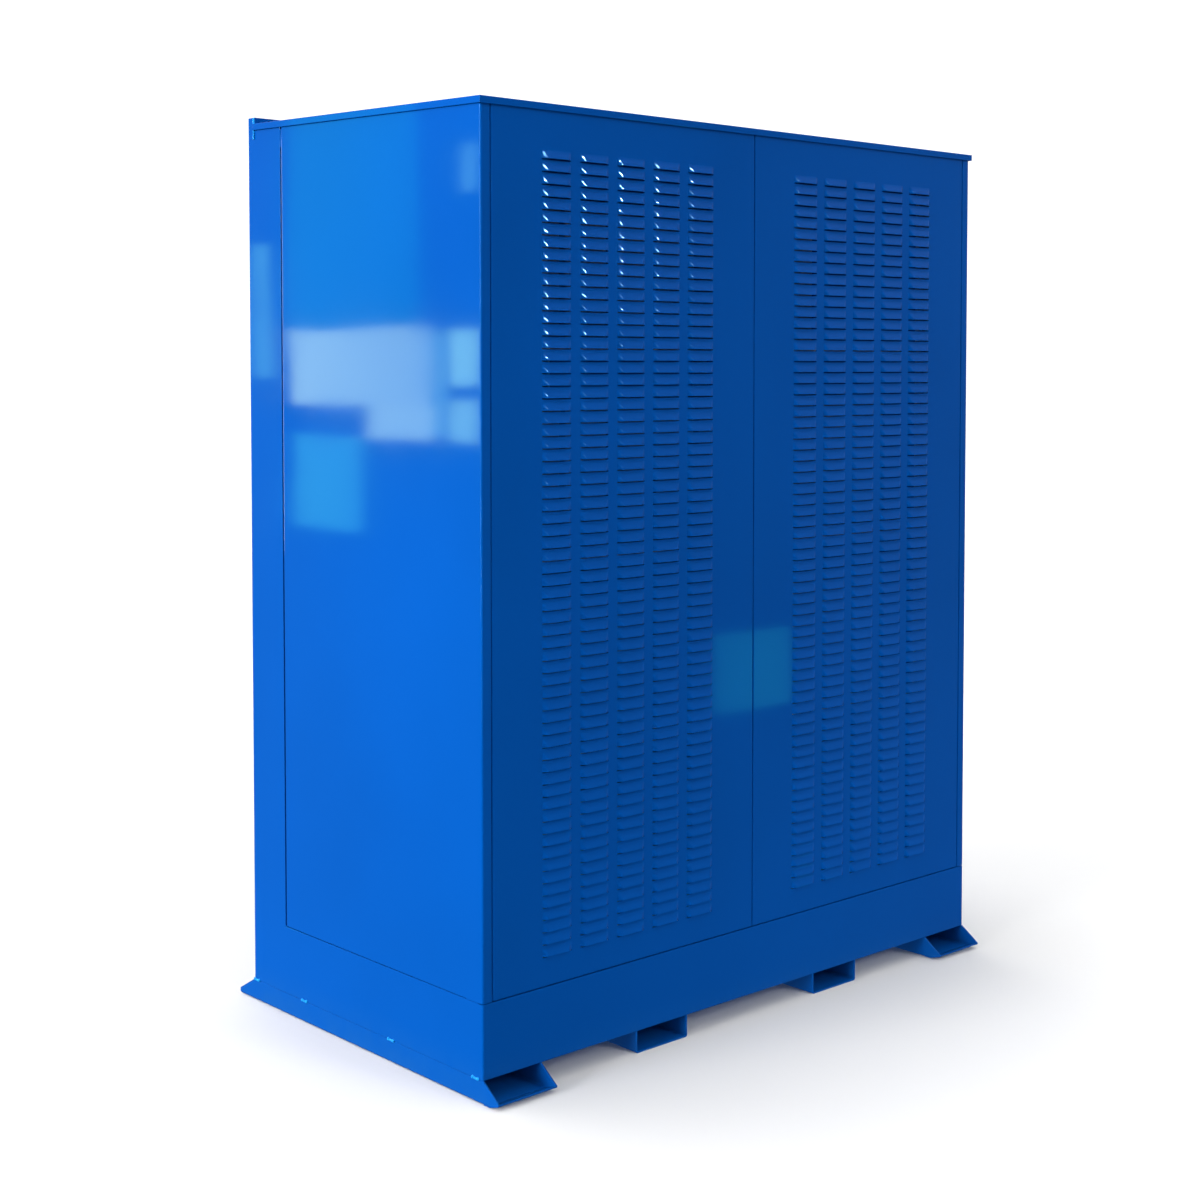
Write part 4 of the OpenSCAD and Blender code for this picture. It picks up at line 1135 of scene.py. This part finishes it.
@dataclass
class BatteryRows:
    """Battery blocks of the four tiers with lids, vents, terminals, links and hold-down bars."""

    frame: dict
    pitch: float = 140.0
    tiers: tuple[float, ...] = (233.0, 674.75, 1116.5, 1558.25)
    counts: tuple[int, ...] = (10, 10, 10, 8)
    height: float = 316.0
    lid: float = 34.0
    front: float = 303.5
    back: float = -254.5
    half: float = 62.5
    terminal_x: float = 37.5
    terminal_y: float = 290.5
    recess: tuple[float, float] = (-87.1, 136.1)
    recess_depth: float = 8.0

    def _case(self, work: Workpiece) -> None:
        """Moulds the case with its front ribs and the lid with the carrying recess."""
        top = self.height - self.lid
        work.slab(mm(-self.half, self.back, 0), mm(self.half, self.front, top), 4 * MM, 3)
        for x in (-44.0, -22.0, 0.0, 22.0, 44.0):
            work.slab(mm(x - 5, self.front - 1, 26), mm(x + 5, self.front + 1.3, top - 26), 1.0 * MM, 2)
        step = self.height - self.lid / 2
        work.slab(mm(-self.half - 2, self.front - 26.5, top), mm(self.half + 2, self.front + 1.9, step),
                  2.2 * MM, 3, CASE_LID)
        lid = Workpiece("lid", CASE_LID)
        lid.slab(mm(-self.half - 2, self.back - 2, top), mm(self.half + 2, self.front - 26, self.height))
        for y in self.recess:
            lid.cut(mm(0, y, 0), (0, 1, 0))
        lid.bm.normal_update()
        middle = sum(self.recess) / 2 * MM
        seat = next(f for f in lid.bm.faces
                    if f.normal.z > 0.9 and abs(f.calc_center_median().y - middle) < 2 * MM)
        bmesh.ops.inset_region(lid.bm, faces=[seat], thickness=14 * MM, depth=0.0)
        well = bmesh.ops.extrude_discrete_faces(lid.bm, faces=[seat])["faces"]
        floor = [v for f in well for v in f.verts]
        bmesh.ops.translate(lid.bm, verts=floor, vec=mm(0, 0, -self.recess_depth))
        lid.round_off(lid.hard_edges(), 2.4 * MM, 3)
        work.stamp(lid, [Matrix.Identity(4)])

    def _fittings(self, work: Workpiece) -> None:
        """Adds vent plugs, terminal rings and terminal posts."""
        step = self.height - self.lid / 2
        for x in (-32.0, 32.0):
            for y in (-205.0, -135.0, 200.0):
                work.lathe(profile((11, 0), (11, 1.4), (9.8, 2.2), (3.4, 2.2), (3.0, 1.0), (0, 1.0)),
                           mm(x, y, self.height - 0.2), Along.Z, steps=18, finish=CASE)
        for x, ring in ((-self.terminal_x, BLACK), (self.terminal_x, RED)):
            work.lathe(profile((12.2, 0), (12.2, 1.4), (11.4, 2.2), (9.1, 2.2)),
                       mm(x, self.terminal_y, step - 0.1), Along.Z, steps=20, finish=ring)
            work.lathe(profile((9, 0), (9, 7.9), (8.4, 8.5), (0, 8.5)),
                       mm(x, self.terminal_y, step), Along.Z, steps=20, finish=PLATED)

    def _block_x(self, k: int) -> float:
        """Middle of block k."""
        return (k - (max(self.counts) - 1) / 2) * self.pitch

    def _links(self) -> None:
        """Lays the copper links between neighbouring blocks, each with two bolts."""
        work = Workpiece("battery_link_bars", COPPER)
        for z0, count in zip(self.tiers, self.counts):
            z = z0 + self.height - self.lid / 4
            for k in range(count - 1):
                a = self._block_x(k) + self.terminal_x
                b = self._block_x(k + 1) - self.terminal_x
                work.plate(mm(a - 9, self.terminal_y - 9, z), mm(b + 9, self.terminal_y + 9, z + 3), 2,
                           6 * MM, 0.6 * MM)
                for x in (a, b):
                    work.bolt(mm(x, self.terminal_y, z + 2.95), Along.Z, 11 * MM, 3.2 * MM)
        work.hand_over("cabinet", ("battery_links",), big=0.01)

    def _bars(self) -> None:
        """Dresses the hold-down bars and bolts them to the rack."""
        work = dressed(self.frame, "hold_down_bars", ZINC, [Rounding(0.8 * MM, longer_than(12 * MM))])
        low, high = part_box("hold_down_bars")
        for z0 in self.tiers:
            z = (z0 + self.height / 2 + 15) * MM
            for x in (low.x + 22 * MM, -10 * MM, 10 * MM, high.x - 22 * MM):
                work.bolt((x, low.y + 2.45 * MM, z), Along.Y, 10 * MM, 6 * MM)
        work.hand_over("cabinet", ("hold_down_bars",), big=0.0008)

    def build(self) -> None:
        """Fills all four tiers."""
        for tier, (z, count) in enumerate(zip(self.tiers, self.counts), 1):
            battery = Workpiece("block", CASE)
            self._case(battery)
            self._fittings(battery)
            row = Workpiece(f"batteries_tier_{tier}", CASE)
            row.stamp(battery, [Matrix.Translation(mm(self._block_x(k), 0, z)) for k in range(count)])
            row.hand_over("cabinet", (f"battery_row_{tier}",), big=0.0006)
        self._links()
        self._bars()


@dataclass
class RackWork:
    """Slotted rack posts and the shelves bolted to them."""

    frame: dict
    hole_pitch: float = 50.0
    hole_height: float = 22.0
    hole_start: float = 0.40
    hole_end: float = 0.62
    leg: float = 40 * MM
    steel: float = 2.5 * MM

    def _strip(self, work: Workpiece, path: Sequence[tuple[float, float]], low: float, high: float) -> None:
        """Folds one punched strip along a plan path and leaves out its slots.

        Args:
            work: the workpiece it is added to.
            path: plan points in metres, with the fold at every inner one.
            low: its lower end.
            high: its upper end.
        """
        lines: list[tuple[float, float]] = []
        for (x0, y0), (x1, y1) in zip(path, path[1:]):
            for t in (0.0, self.hole_start, self.hole_end):
                lines.append((x0 + (x1 - x0) * t, y0 + (y1 - y0) * t))
        lines.append(path[-1])
        count = int((high - low) / (self.hole_pitch * MM)) - 1
        zs = [low, *(low + (self.hole_pitch * (k + 0.7) + d) * MM for k in range(count)
                     for d in (0.0, self.hole_height)), high]
        other = bmesh.new()
        nx, nz = len(lines) - 1, len(zs) - 1
        bmesh.ops.create_grid(other, x_segments=nx, y_segments=nz, size=0.5)
        holes = []
        for face in other.faces:
            centre = face.calc_center_median()
            i, j = int((centre.x + 0.5) * nx), int((centre.y + 0.5) * nz)
            if i % 3 == 1 and j % 2 == 1 and j < nz - 1:
                holes.append(face)
        bmesh.ops.delete(other, geom=holes, context="FACES")
        for v in other.verts:
            i, j = round((v.co.x + 0.5) * nx), round((v.co.y + 0.5) * nz)
            v.co = (*lines[i], zs[j])
        work.take_in(other)

    def build(self) -> None:
        """Builds posts and shelves."""
        low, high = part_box("rack_posts")
        leg, t = self.leg, self.steel
        work = Workpiece("rack_post_angles", ZINC)
        for s, x in ((1, low.x), (-1, high.x)):
            for d, y in ((1, low.y), (-1, high.y)):
                path = [(x + s * leg, y), (x, y), (x, y + d * leg)]
                self._strip(work, path if s * d < 0 else path[::-1], low.z, high.z)
        self._strip(work, [(-leg / 2, low.y), (leg / 2, low.y)], low.z, high.z)
        self._strip(work, [(leg / 2, high.y), (-leg / 2, high.y)], low.z, high.z)
        work.hand_over("cabinet", ("rack_posts",), big=0.0001, wall=t)
        for tier in range(1, 5):
            node = f"shelf_{tier}"
            a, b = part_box(node)
            shelf = dressed(self.frame, node, ZINC, [Rounding(1.5 * MM, longer_than(50 * MM), 3)])
            z = (a.z + b.z) / 2
            for x in (a.x + 26 * MM, b.x - 26 * MM, -9 * MM, 9 * MM):
                shelf.bolt((x, b.y + t, z), Along.Y, 10 * MM, 6 * MM)
                shelf.bolt((x, a.y - t, z), Along.BACK, 10 * MM, 6 * MM)
            shelf.hand_over("cabinet", (node,), big=0.0008)


@dataclass
class Isolator:
    """Isolator box with screwed lid and the red turning knob on its yellow ring."""

    frame: dict
    mark_ring: float = 37.5 * MM
    ridges: int = 18
    ridge_ring: float = 28.6 * MM

    def build(self) -> None:
        """Builds box and knob."""
        low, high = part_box("isolator_box")
        knob_low, knob_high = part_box("isolator_knob")
        x, z = (knob_low.x + knob_high.x) / 2, (knob_low.z + knob_high.z) / 2
        work = dressed(self.frame, "isolator_box", GREY,
                       [rim(1.6 * MM, 1, high.y),
                        Rounding(1.0 * MM, longer_than(40 * MM))])
        for sx in (low.x + 20 * MM, high.x - 20 * MM):
            for sz in (low.z + 20 * MM, high.z - 20 * MM):
                work.screw((sx, high.y - 0.05 * MM, sz), Along.Y, 5 * MM, 2.2 * MM)
        work.lathe(profile((7.5, 0), (44, 0), (44, 0.3), (43.6, 0.42), (7.5, 0.42)),
                   (x, high.y - 0.02 * MM, z), Along.Y, closed=True, steps=48, finish=YELLOW)
        for k in range(2):
            angle = k * math.pi / 2
            sx, sz = x + math.sin(angle) * self.mark_ring, z + math.cos(angle) * self.mark_ring
            wide, tall = mm(1.2 + 2.0 * k, 3.2 - 2.0 * k)
            work.slab((sx - wide, high.y + 0.25 * MM, sz - tall), (sx + wide, high.y + 0.47 * MM, sz + tall),
                      finish=KEYWAY_SHADE_AND_PRINT)
        for dz in (62.0, 110.0):
            work.lathe(profile((15, 0), (15, 5), (13.4, 6), (13.4, 13), (11, 16), (0, 16)),
                       (high.x, low.y + 210 * MM, low.z + dz * MM), Along.X, steps=24, finish=BLACK)
        work.hand_over("cabinet", ("isolator_box",), big=0.0008)
        knob = Workpiece("isolator_turn_knob", RED)
        face = knob_high.y - 22 * MM
        rim_line = profile((0, 0), (29, 0), (30, 1), (30, 5.6), (28.4, 7.6), (20, 8), (0, 8))
        knob.lathe(rim_line, (x, face, z), Along.Y, steps=48)
        for k in range(self.ridges):
            angle = k * math.tau / self.ridges
            knob.lump((x + math.sin(angle) * self.ridge_ring, face + 3.4 * MM,
                       z + math.cos(angle) * self.ridge_ring), mm(2.6, 5.4, 2.6), 1)
        knob.plate((x - 7 * MM, face + 7 * MM, z - 27.6 * MM), (x + 7 * MM, knob_high.y, z + 27.6 * MM), 1,
                   6.6 * MM, 2.4 * MM, 3)
        knob.slab((x - 1 * MM, knob_high.y - 0.1 * MM, z + 12 * MM),
                  (x + 1 * MM, knob_high.y + 0.02 * MM, z + 24 * MM), finish=GREY)
        knob.turned((x, knob_low.y, z), Along.Y, face - knob_low.y + MM, 6 * MM, segments=32, finish=SCREW)
        knob.hand_over("isolator", ("isolator_knob",), angle=40.0, big=0.0006)


@dataclass
class CableDuct:
    """Slotted wiring duct beside the rack, with its snap-on cover."""

    pitch: float = 12.5 * MM
    finger: float = 8.5 * MM
    wall: float = 2.0 * MM

    def build(self) -> None:
        """Builds the duct from base, fingers and cover."""
        low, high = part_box("cable_duct")
        work = Workpiece("slotted_duct", GREY)
        w = self.wall
        work.slab(low, (low.x + w, high.y, high.z), 0.4 * MM, 1)
        work.slab((high.x - w, low.y, low.z), (high.x, high.y, high.z), 0.4 * MM, 1)
        for y in (low.y, high.y - w):
            work.slab((low.x, y, low.z), (low.x + 9 * MM, y + w, high.z))
            work.slab((high.x - 7 * MM, y, low.z), (high.x, y + w, high.z))
            for k in range(int((high.z - low.z) / self.pitch)):
                z = low.z + k * self.pitch + 2 * MM
                work.slab((low.x + 8 * MM, y, z), (high.x - 6 * MM, y + w, z + self.finger))
        work.hand_over("cabinet", ("cable_duct",), big=0.0001)


@dataclass
class Connections:
    """Gland plate with collars and screws, and the earth stud with its thread, washer and nut."""

    frame: dict

    def _gland_plate(self) -> None:
        """Dresses the plate and sets a collar round each cable entry."""
        low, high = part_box("gland_plate")
        work = dressed(self.frame, "gland_plate", ZINC, [rim(0.6 * MM, 2, high.z, 2)])
        y = (low.y + high.y) / 2
        for x in (-70.0, 70.0):
            work.lathe(profile((25.6, 0), (33, 0), (33, 4), (32, 5), (29, 5), (29, 9), (28, 10), (25.6, 10)),
                       (x * MM, y, high.z - 0.1 * MM), Along.Z, closed=True, steps=40, finish=BLACK)
        work.hand_over("cabinet", ("gland_plate",), big=0.0008)
        low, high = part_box("gland_screws")
        work = Workpiece("gland_plate_screws", SCREW)
        for sx in (low.x + 5 * MM, high.x - 5 * MM):
            for sy in (low.y + 5 * MM, high.y - 5 * MM):
                work.screw((sx, sy, high.z - 3 * MM), Along.Z, 5 * MM, 3 * MM)
                work.turned((sx, sy, low.z), Along.Z, high.z - low.z - 2.4 * MM, 2.5 * MM, segments=16)
        work.hand_over("cabinet", ("gland_screws",))

    def _earth_stud(self) -> None:
        """Turns the earth stud with its boss, thread, washer and nut."""
        low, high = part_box("earth_stud")
        x, z = (low.x + high.x) / 2, (low.z + high.z) / 2
        work = Workpiece("earth_stud_turned", BRASS)
        thread = [mm(3.3, 4.5)]
        for k in range(15):
            thread += profile((3.35, 5 + 1.25 * k), (3.98, 5.62 + 1.25 * k))
        work.lathe([*thread, mm(3.3, 24.2), mm(2.7, 25), mm(0, 25)], (x, low.y, z), Along.Y, steps=24)
        work.lathe(profile((0, 0), (9.6, 0), (9.6, 4.2), (8.8, 5), (0, 5)), (x, low.y, z), Along.Y, steps=32)
        work.lathe(profile((4.1, 0), (8.2, 0), (8.2, 1.4), (4.1, 1.4)), (x, low.y + 5 * MM, z), Along.Y,
                   closed=True, steps=32, finish=PLATED)
        work.lathe(profile((4.1, 0), (7.5, 0), (7.5, 6), (4.1, 6)), (x, low.y + 6.4 * MM, z), Along.Y,
                   closed=True, steps=6)
        work.hand_over("cabinet", ("earth_stud",))

    def build(self) -> None:
        """Builds all connections."""
        self._gland_plate()
        self._earth_stud()


# ---------------------------------------------------------------- studio


@dataclass
class SoftBox:
    """One soft panel that the gloss mirrors: its place, where it looks, size, radiance and tint."""

    name: str
    place: Point
    toward: Point
    width: float
    height: float
    radiance: float
    tint: Point = (1.0, 1.0, 1.0)

    def hang(self) -> None:
        """Hangs the panel in the scene, unseen by the camera and without light on matt faces."""
        data = bpy.data.lights.new(self.name, "AREA")
        data.shape = "RECTANGLE"
        data.size, data.size_y = self.width, self.height
        data.energy = self.radiance * math.pi * self.width * self.height
        data.color = self.tint
        lamp = bpy.data.objects.new(self.name, data)
        lamp.location = self.place
        lamp.rotation_mode = "QUATERNION"
        lamp.rotation_quaternion = Vector(self.toward).to_track_quat("-Z", "Y")
        lamp.visible_camera = False
        lamp.visible_diffuse = False
        bpy.context.scene.collection.objects.link(lamp)


@dataclass
class SunLamp:
    """One far light: direction to it, strength, the angle it fills and whether matt faces get it."""

    name: str
    toward: Point
    strength: float
    degrees: float
    lights_matt: bool = True

    def hang(self) -> None:
        """Hangs the lamp."""
        data = bpy.data.lights.new(self.name, "SUN")
        data.energy = self.strength
        data.angle = math.radians(self.degrees)
        lamp = bpy.data.objects.new(self.name, data)
        lamp.rotation_mode = "QUATERNION"
        lamp.rotation_quaternion = (-Vector(self.toward)).to_track_quat("-Z", "Y")
        lamp.visible_diffuse = self.lights_matt
        bpy.context.scene.collection.objects.link(lamp)


WALL = (1.0, 0.0, 0.0)


@dataclass
class Studio:
    """Pale floor, soft light and the camera."""

    camera_place: Point = (-3.160, -3.403, 1.512)
    lens: float = 56.40
    shift: float = -0.1275
    pitch: float = 2.5
    yaw: float = -42.178
    sky: float = 0.80
    rise: float = 0.45
    gloss: float = 0.35
    backdrop: float = 1.2
    floor_reach: float = 60.0
    suns: list[SunLamp] = field(default_factory=lambda: [
        SunLamp("key", (-0.985, 0.10, 0.12), 7.1, 30.0),
        SunLamp("front", (0.23, -0.84, 0.49), 0.85, 14.0),
        SunLamp("overhead", (-0.05, 0.25, 0.965), 1.3, 26.0),
        SunLamp("spark", (0.23, -0.84, 0.50), 30.0, 6.0, False),
    ])
    boxes: list[SoftBox] = field(default_factory=lambda: [
        SoftBox("window_main", (-5.0, 6.05, 1.50), WALL, 1.44, 0.46, 18.0, (0.75, 1.0, 0.47)),
        SoftBox("window_step", (-5.0, 5.60, 1.17), WALL, 0.62, 0.20, 20.0, (0.75, 1.0, 0.47)),
        SoftBox("window_thin", (-5.0, 5.24, 1.40), WALL, 0.14, 0.60, 12.0, (0.4, 1.0, 0.5)),
        SoftBox("window_narrow", (-5.0, 4.97, 1.55), WALL, 0.31, 0.33, 26.0, (0.56, 1.0, 0.42)),
        SoftBox("window_small", (-5.0, 4.97, 1.19), WALL, 0.31, 0.23, 23.0, (0.56, 1.0, 0.42)),
        SoftBox("window_corner", (-5.0, 4.89, 2.62), WALL, 0.15, 0.27, 12.0, (0.4, 1.0, 0.5)),
        SoftBox("window_low", (-5.0, 6.36, 0.79), WALL, 0.80, 0.58, 8.5, (0.14, 1.0, 0.6)),
        SoftBox("window_haze", (-5.0, 6.10, 2.40), WALL, 1.34, 1.34, 3.5, (0.02, 1.0, 0.7)),
        SoftBox("window_haze_low", (-5.0, 6.25, 2.03), WALL, 1.04, 0.60, 3.5, (0.02, 1.0, 0.7)),
        SoftBox("window_post", (-5.0, 7.11, 1.86), WALL, 0.27, 0.86, 7.5, (0.3, 1.0, 0.5)),
        SoftBox("bounce_low", (2.19, -2.5, 0.32), (0.0, 1.0, 0.0), 0.43, 0.30, 5.0, (0.06, 1.0, 0.8)),
        SoftBox("back_glow", (-3.4, 8.3, 1.65), (0.0, -1.0, 0.0), 3.4, 2.7, 9.0),
        SoftBox("corner_strip", (-4.2, -1.2, 1.25), (0.9, 0.4, 0.0), 0.22, 2.4, 60.0),
    ])

    def world(self) -> None:
        """Pale surroundings: a white backdrop, brighter above than below and dimmer in the gloss."""
        world = bpy.data.worlds.new("studio")
        bpy.context.scene.world = world
        world.use_nodes = True
        nodes, links = world.node_tree.nodes, world.node_tree.links
        nodes.clear()
        ray = nodes.new("ShaderNodeLightPath")
        split = nodes.new("ShaderNodeSeparateXYZ")
        links.new(nodes.new("ShaderNodeTexCoord").outputs["Generated"], split.inputs[0])
        shares = ((split.outputs["Z"], self.rise), (ray.outputs["Is Glossy Ray"], self.gloss - self.sky),
                  (ray.outputs["Is Camera Ray"], self.backdrop - self.sky))
        total = None
        for source, share in shares:
            step = nodes.new("ShaderNodeMath")
            step.operation = "MULTIPLY_ADD"
            step.inputs[1].default_value = share
            step.inputs[2].default_value = self.sky
            links.new(source, step.inputs[0])
            if total is not None:
                links.new(total, step.inputs[2])
            total = step.outputs[0]
        sky = nodes.new("ShaderNodeBackground")
        sky.inputs["Color"].default_value = (1.0, 1.0, 1.0, 1.0)
        links.new(total, sky.inputs["Strength"])
        links.new(sky.outputs[0], nodes.new("ShaderNodeOutputWorld").inputs[0])

    def floor(self) -> None:
        """Lays the pale floor."""
        bm = bmesh.new()
        bmesh.ops.create_grid(bm, x_segments=1, y_segments=1, size=self.floor_reach)
        mesh = bpy.data.meshes.new("studio_floor")
        bm.to_mesh(mesh)
        bm.free()
        mesh.materials.append(FLOOR.material())
        slab = bpy.data.objects.new("studio_floor", mesh)
        bpy.context.scene.collection.objects.link(slab)
        slab.visible_glossy = slab.visible_diffuse = False

    def camera(self) -> None:
        """Stands the camera."""
        data = bpy.data.cameras.new("camera")
        data.lens = self.lens
        data.sensor_width = 36.0
        data.shift_y = self.shift
        data.clip_end = 200.0
        camera = bpy.data.objects.new("camera", data)
        camera.location = self.camera_place
        camera.rotation_euler = (math.radians(90 - self.pitch), 0.0, math.radians(self.yaw))
        bpy.context.scene.collection.objects.link(camera)
        bpy.context.scene.camera = camera

    def set_up(self) -> None:
        """Sets up the whole studio."""
        bpy.context.scene.view_settings.view_transform = "Standard"
        self.world()
        self.floor()
        for lamp in [*self.suns, *self.boxes]:
            lamp.hang()
        self.camera()


def finish_cad_nodes(frame: dict) -> None:
    """Gives every CAD node the finish of its slot, which the uncovered ones keep.

    Args:
        frame: the loaded frame.
    """
    slots = {part["node"]: part["material_slot"] for part in frame["record"]["subparts"]}
    for name, piece in frame["nodes"].items():
        piece.data.materials.clear()
        piece.data.materials.append(SLOT_FINISH[slots[name]].material())


def main() -> None:
    """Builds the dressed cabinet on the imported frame."""
    logging.basicConfig(level=logging.INFO, format="%(name)s %(message)s")
    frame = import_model()
    Studio().set_up()
    finish_cad_nodes(frame)
    for side in Side:
        LouvredPanel(side).build()
        SidePanel(side).build()
    BlueSteel(frame).build()
    WeldSeams().build()
    for side in Side:
        Hinges(side).build()
        LeverLock(side, frame).build()
    DoorInside(frame).build()
    RackWork(frame).build()
    BatteryRows(frame).build()
    Isolator(frame).build()
    CableDuct().build()
    Connections(frame).build()


if __name__ == "__main__":
    main()
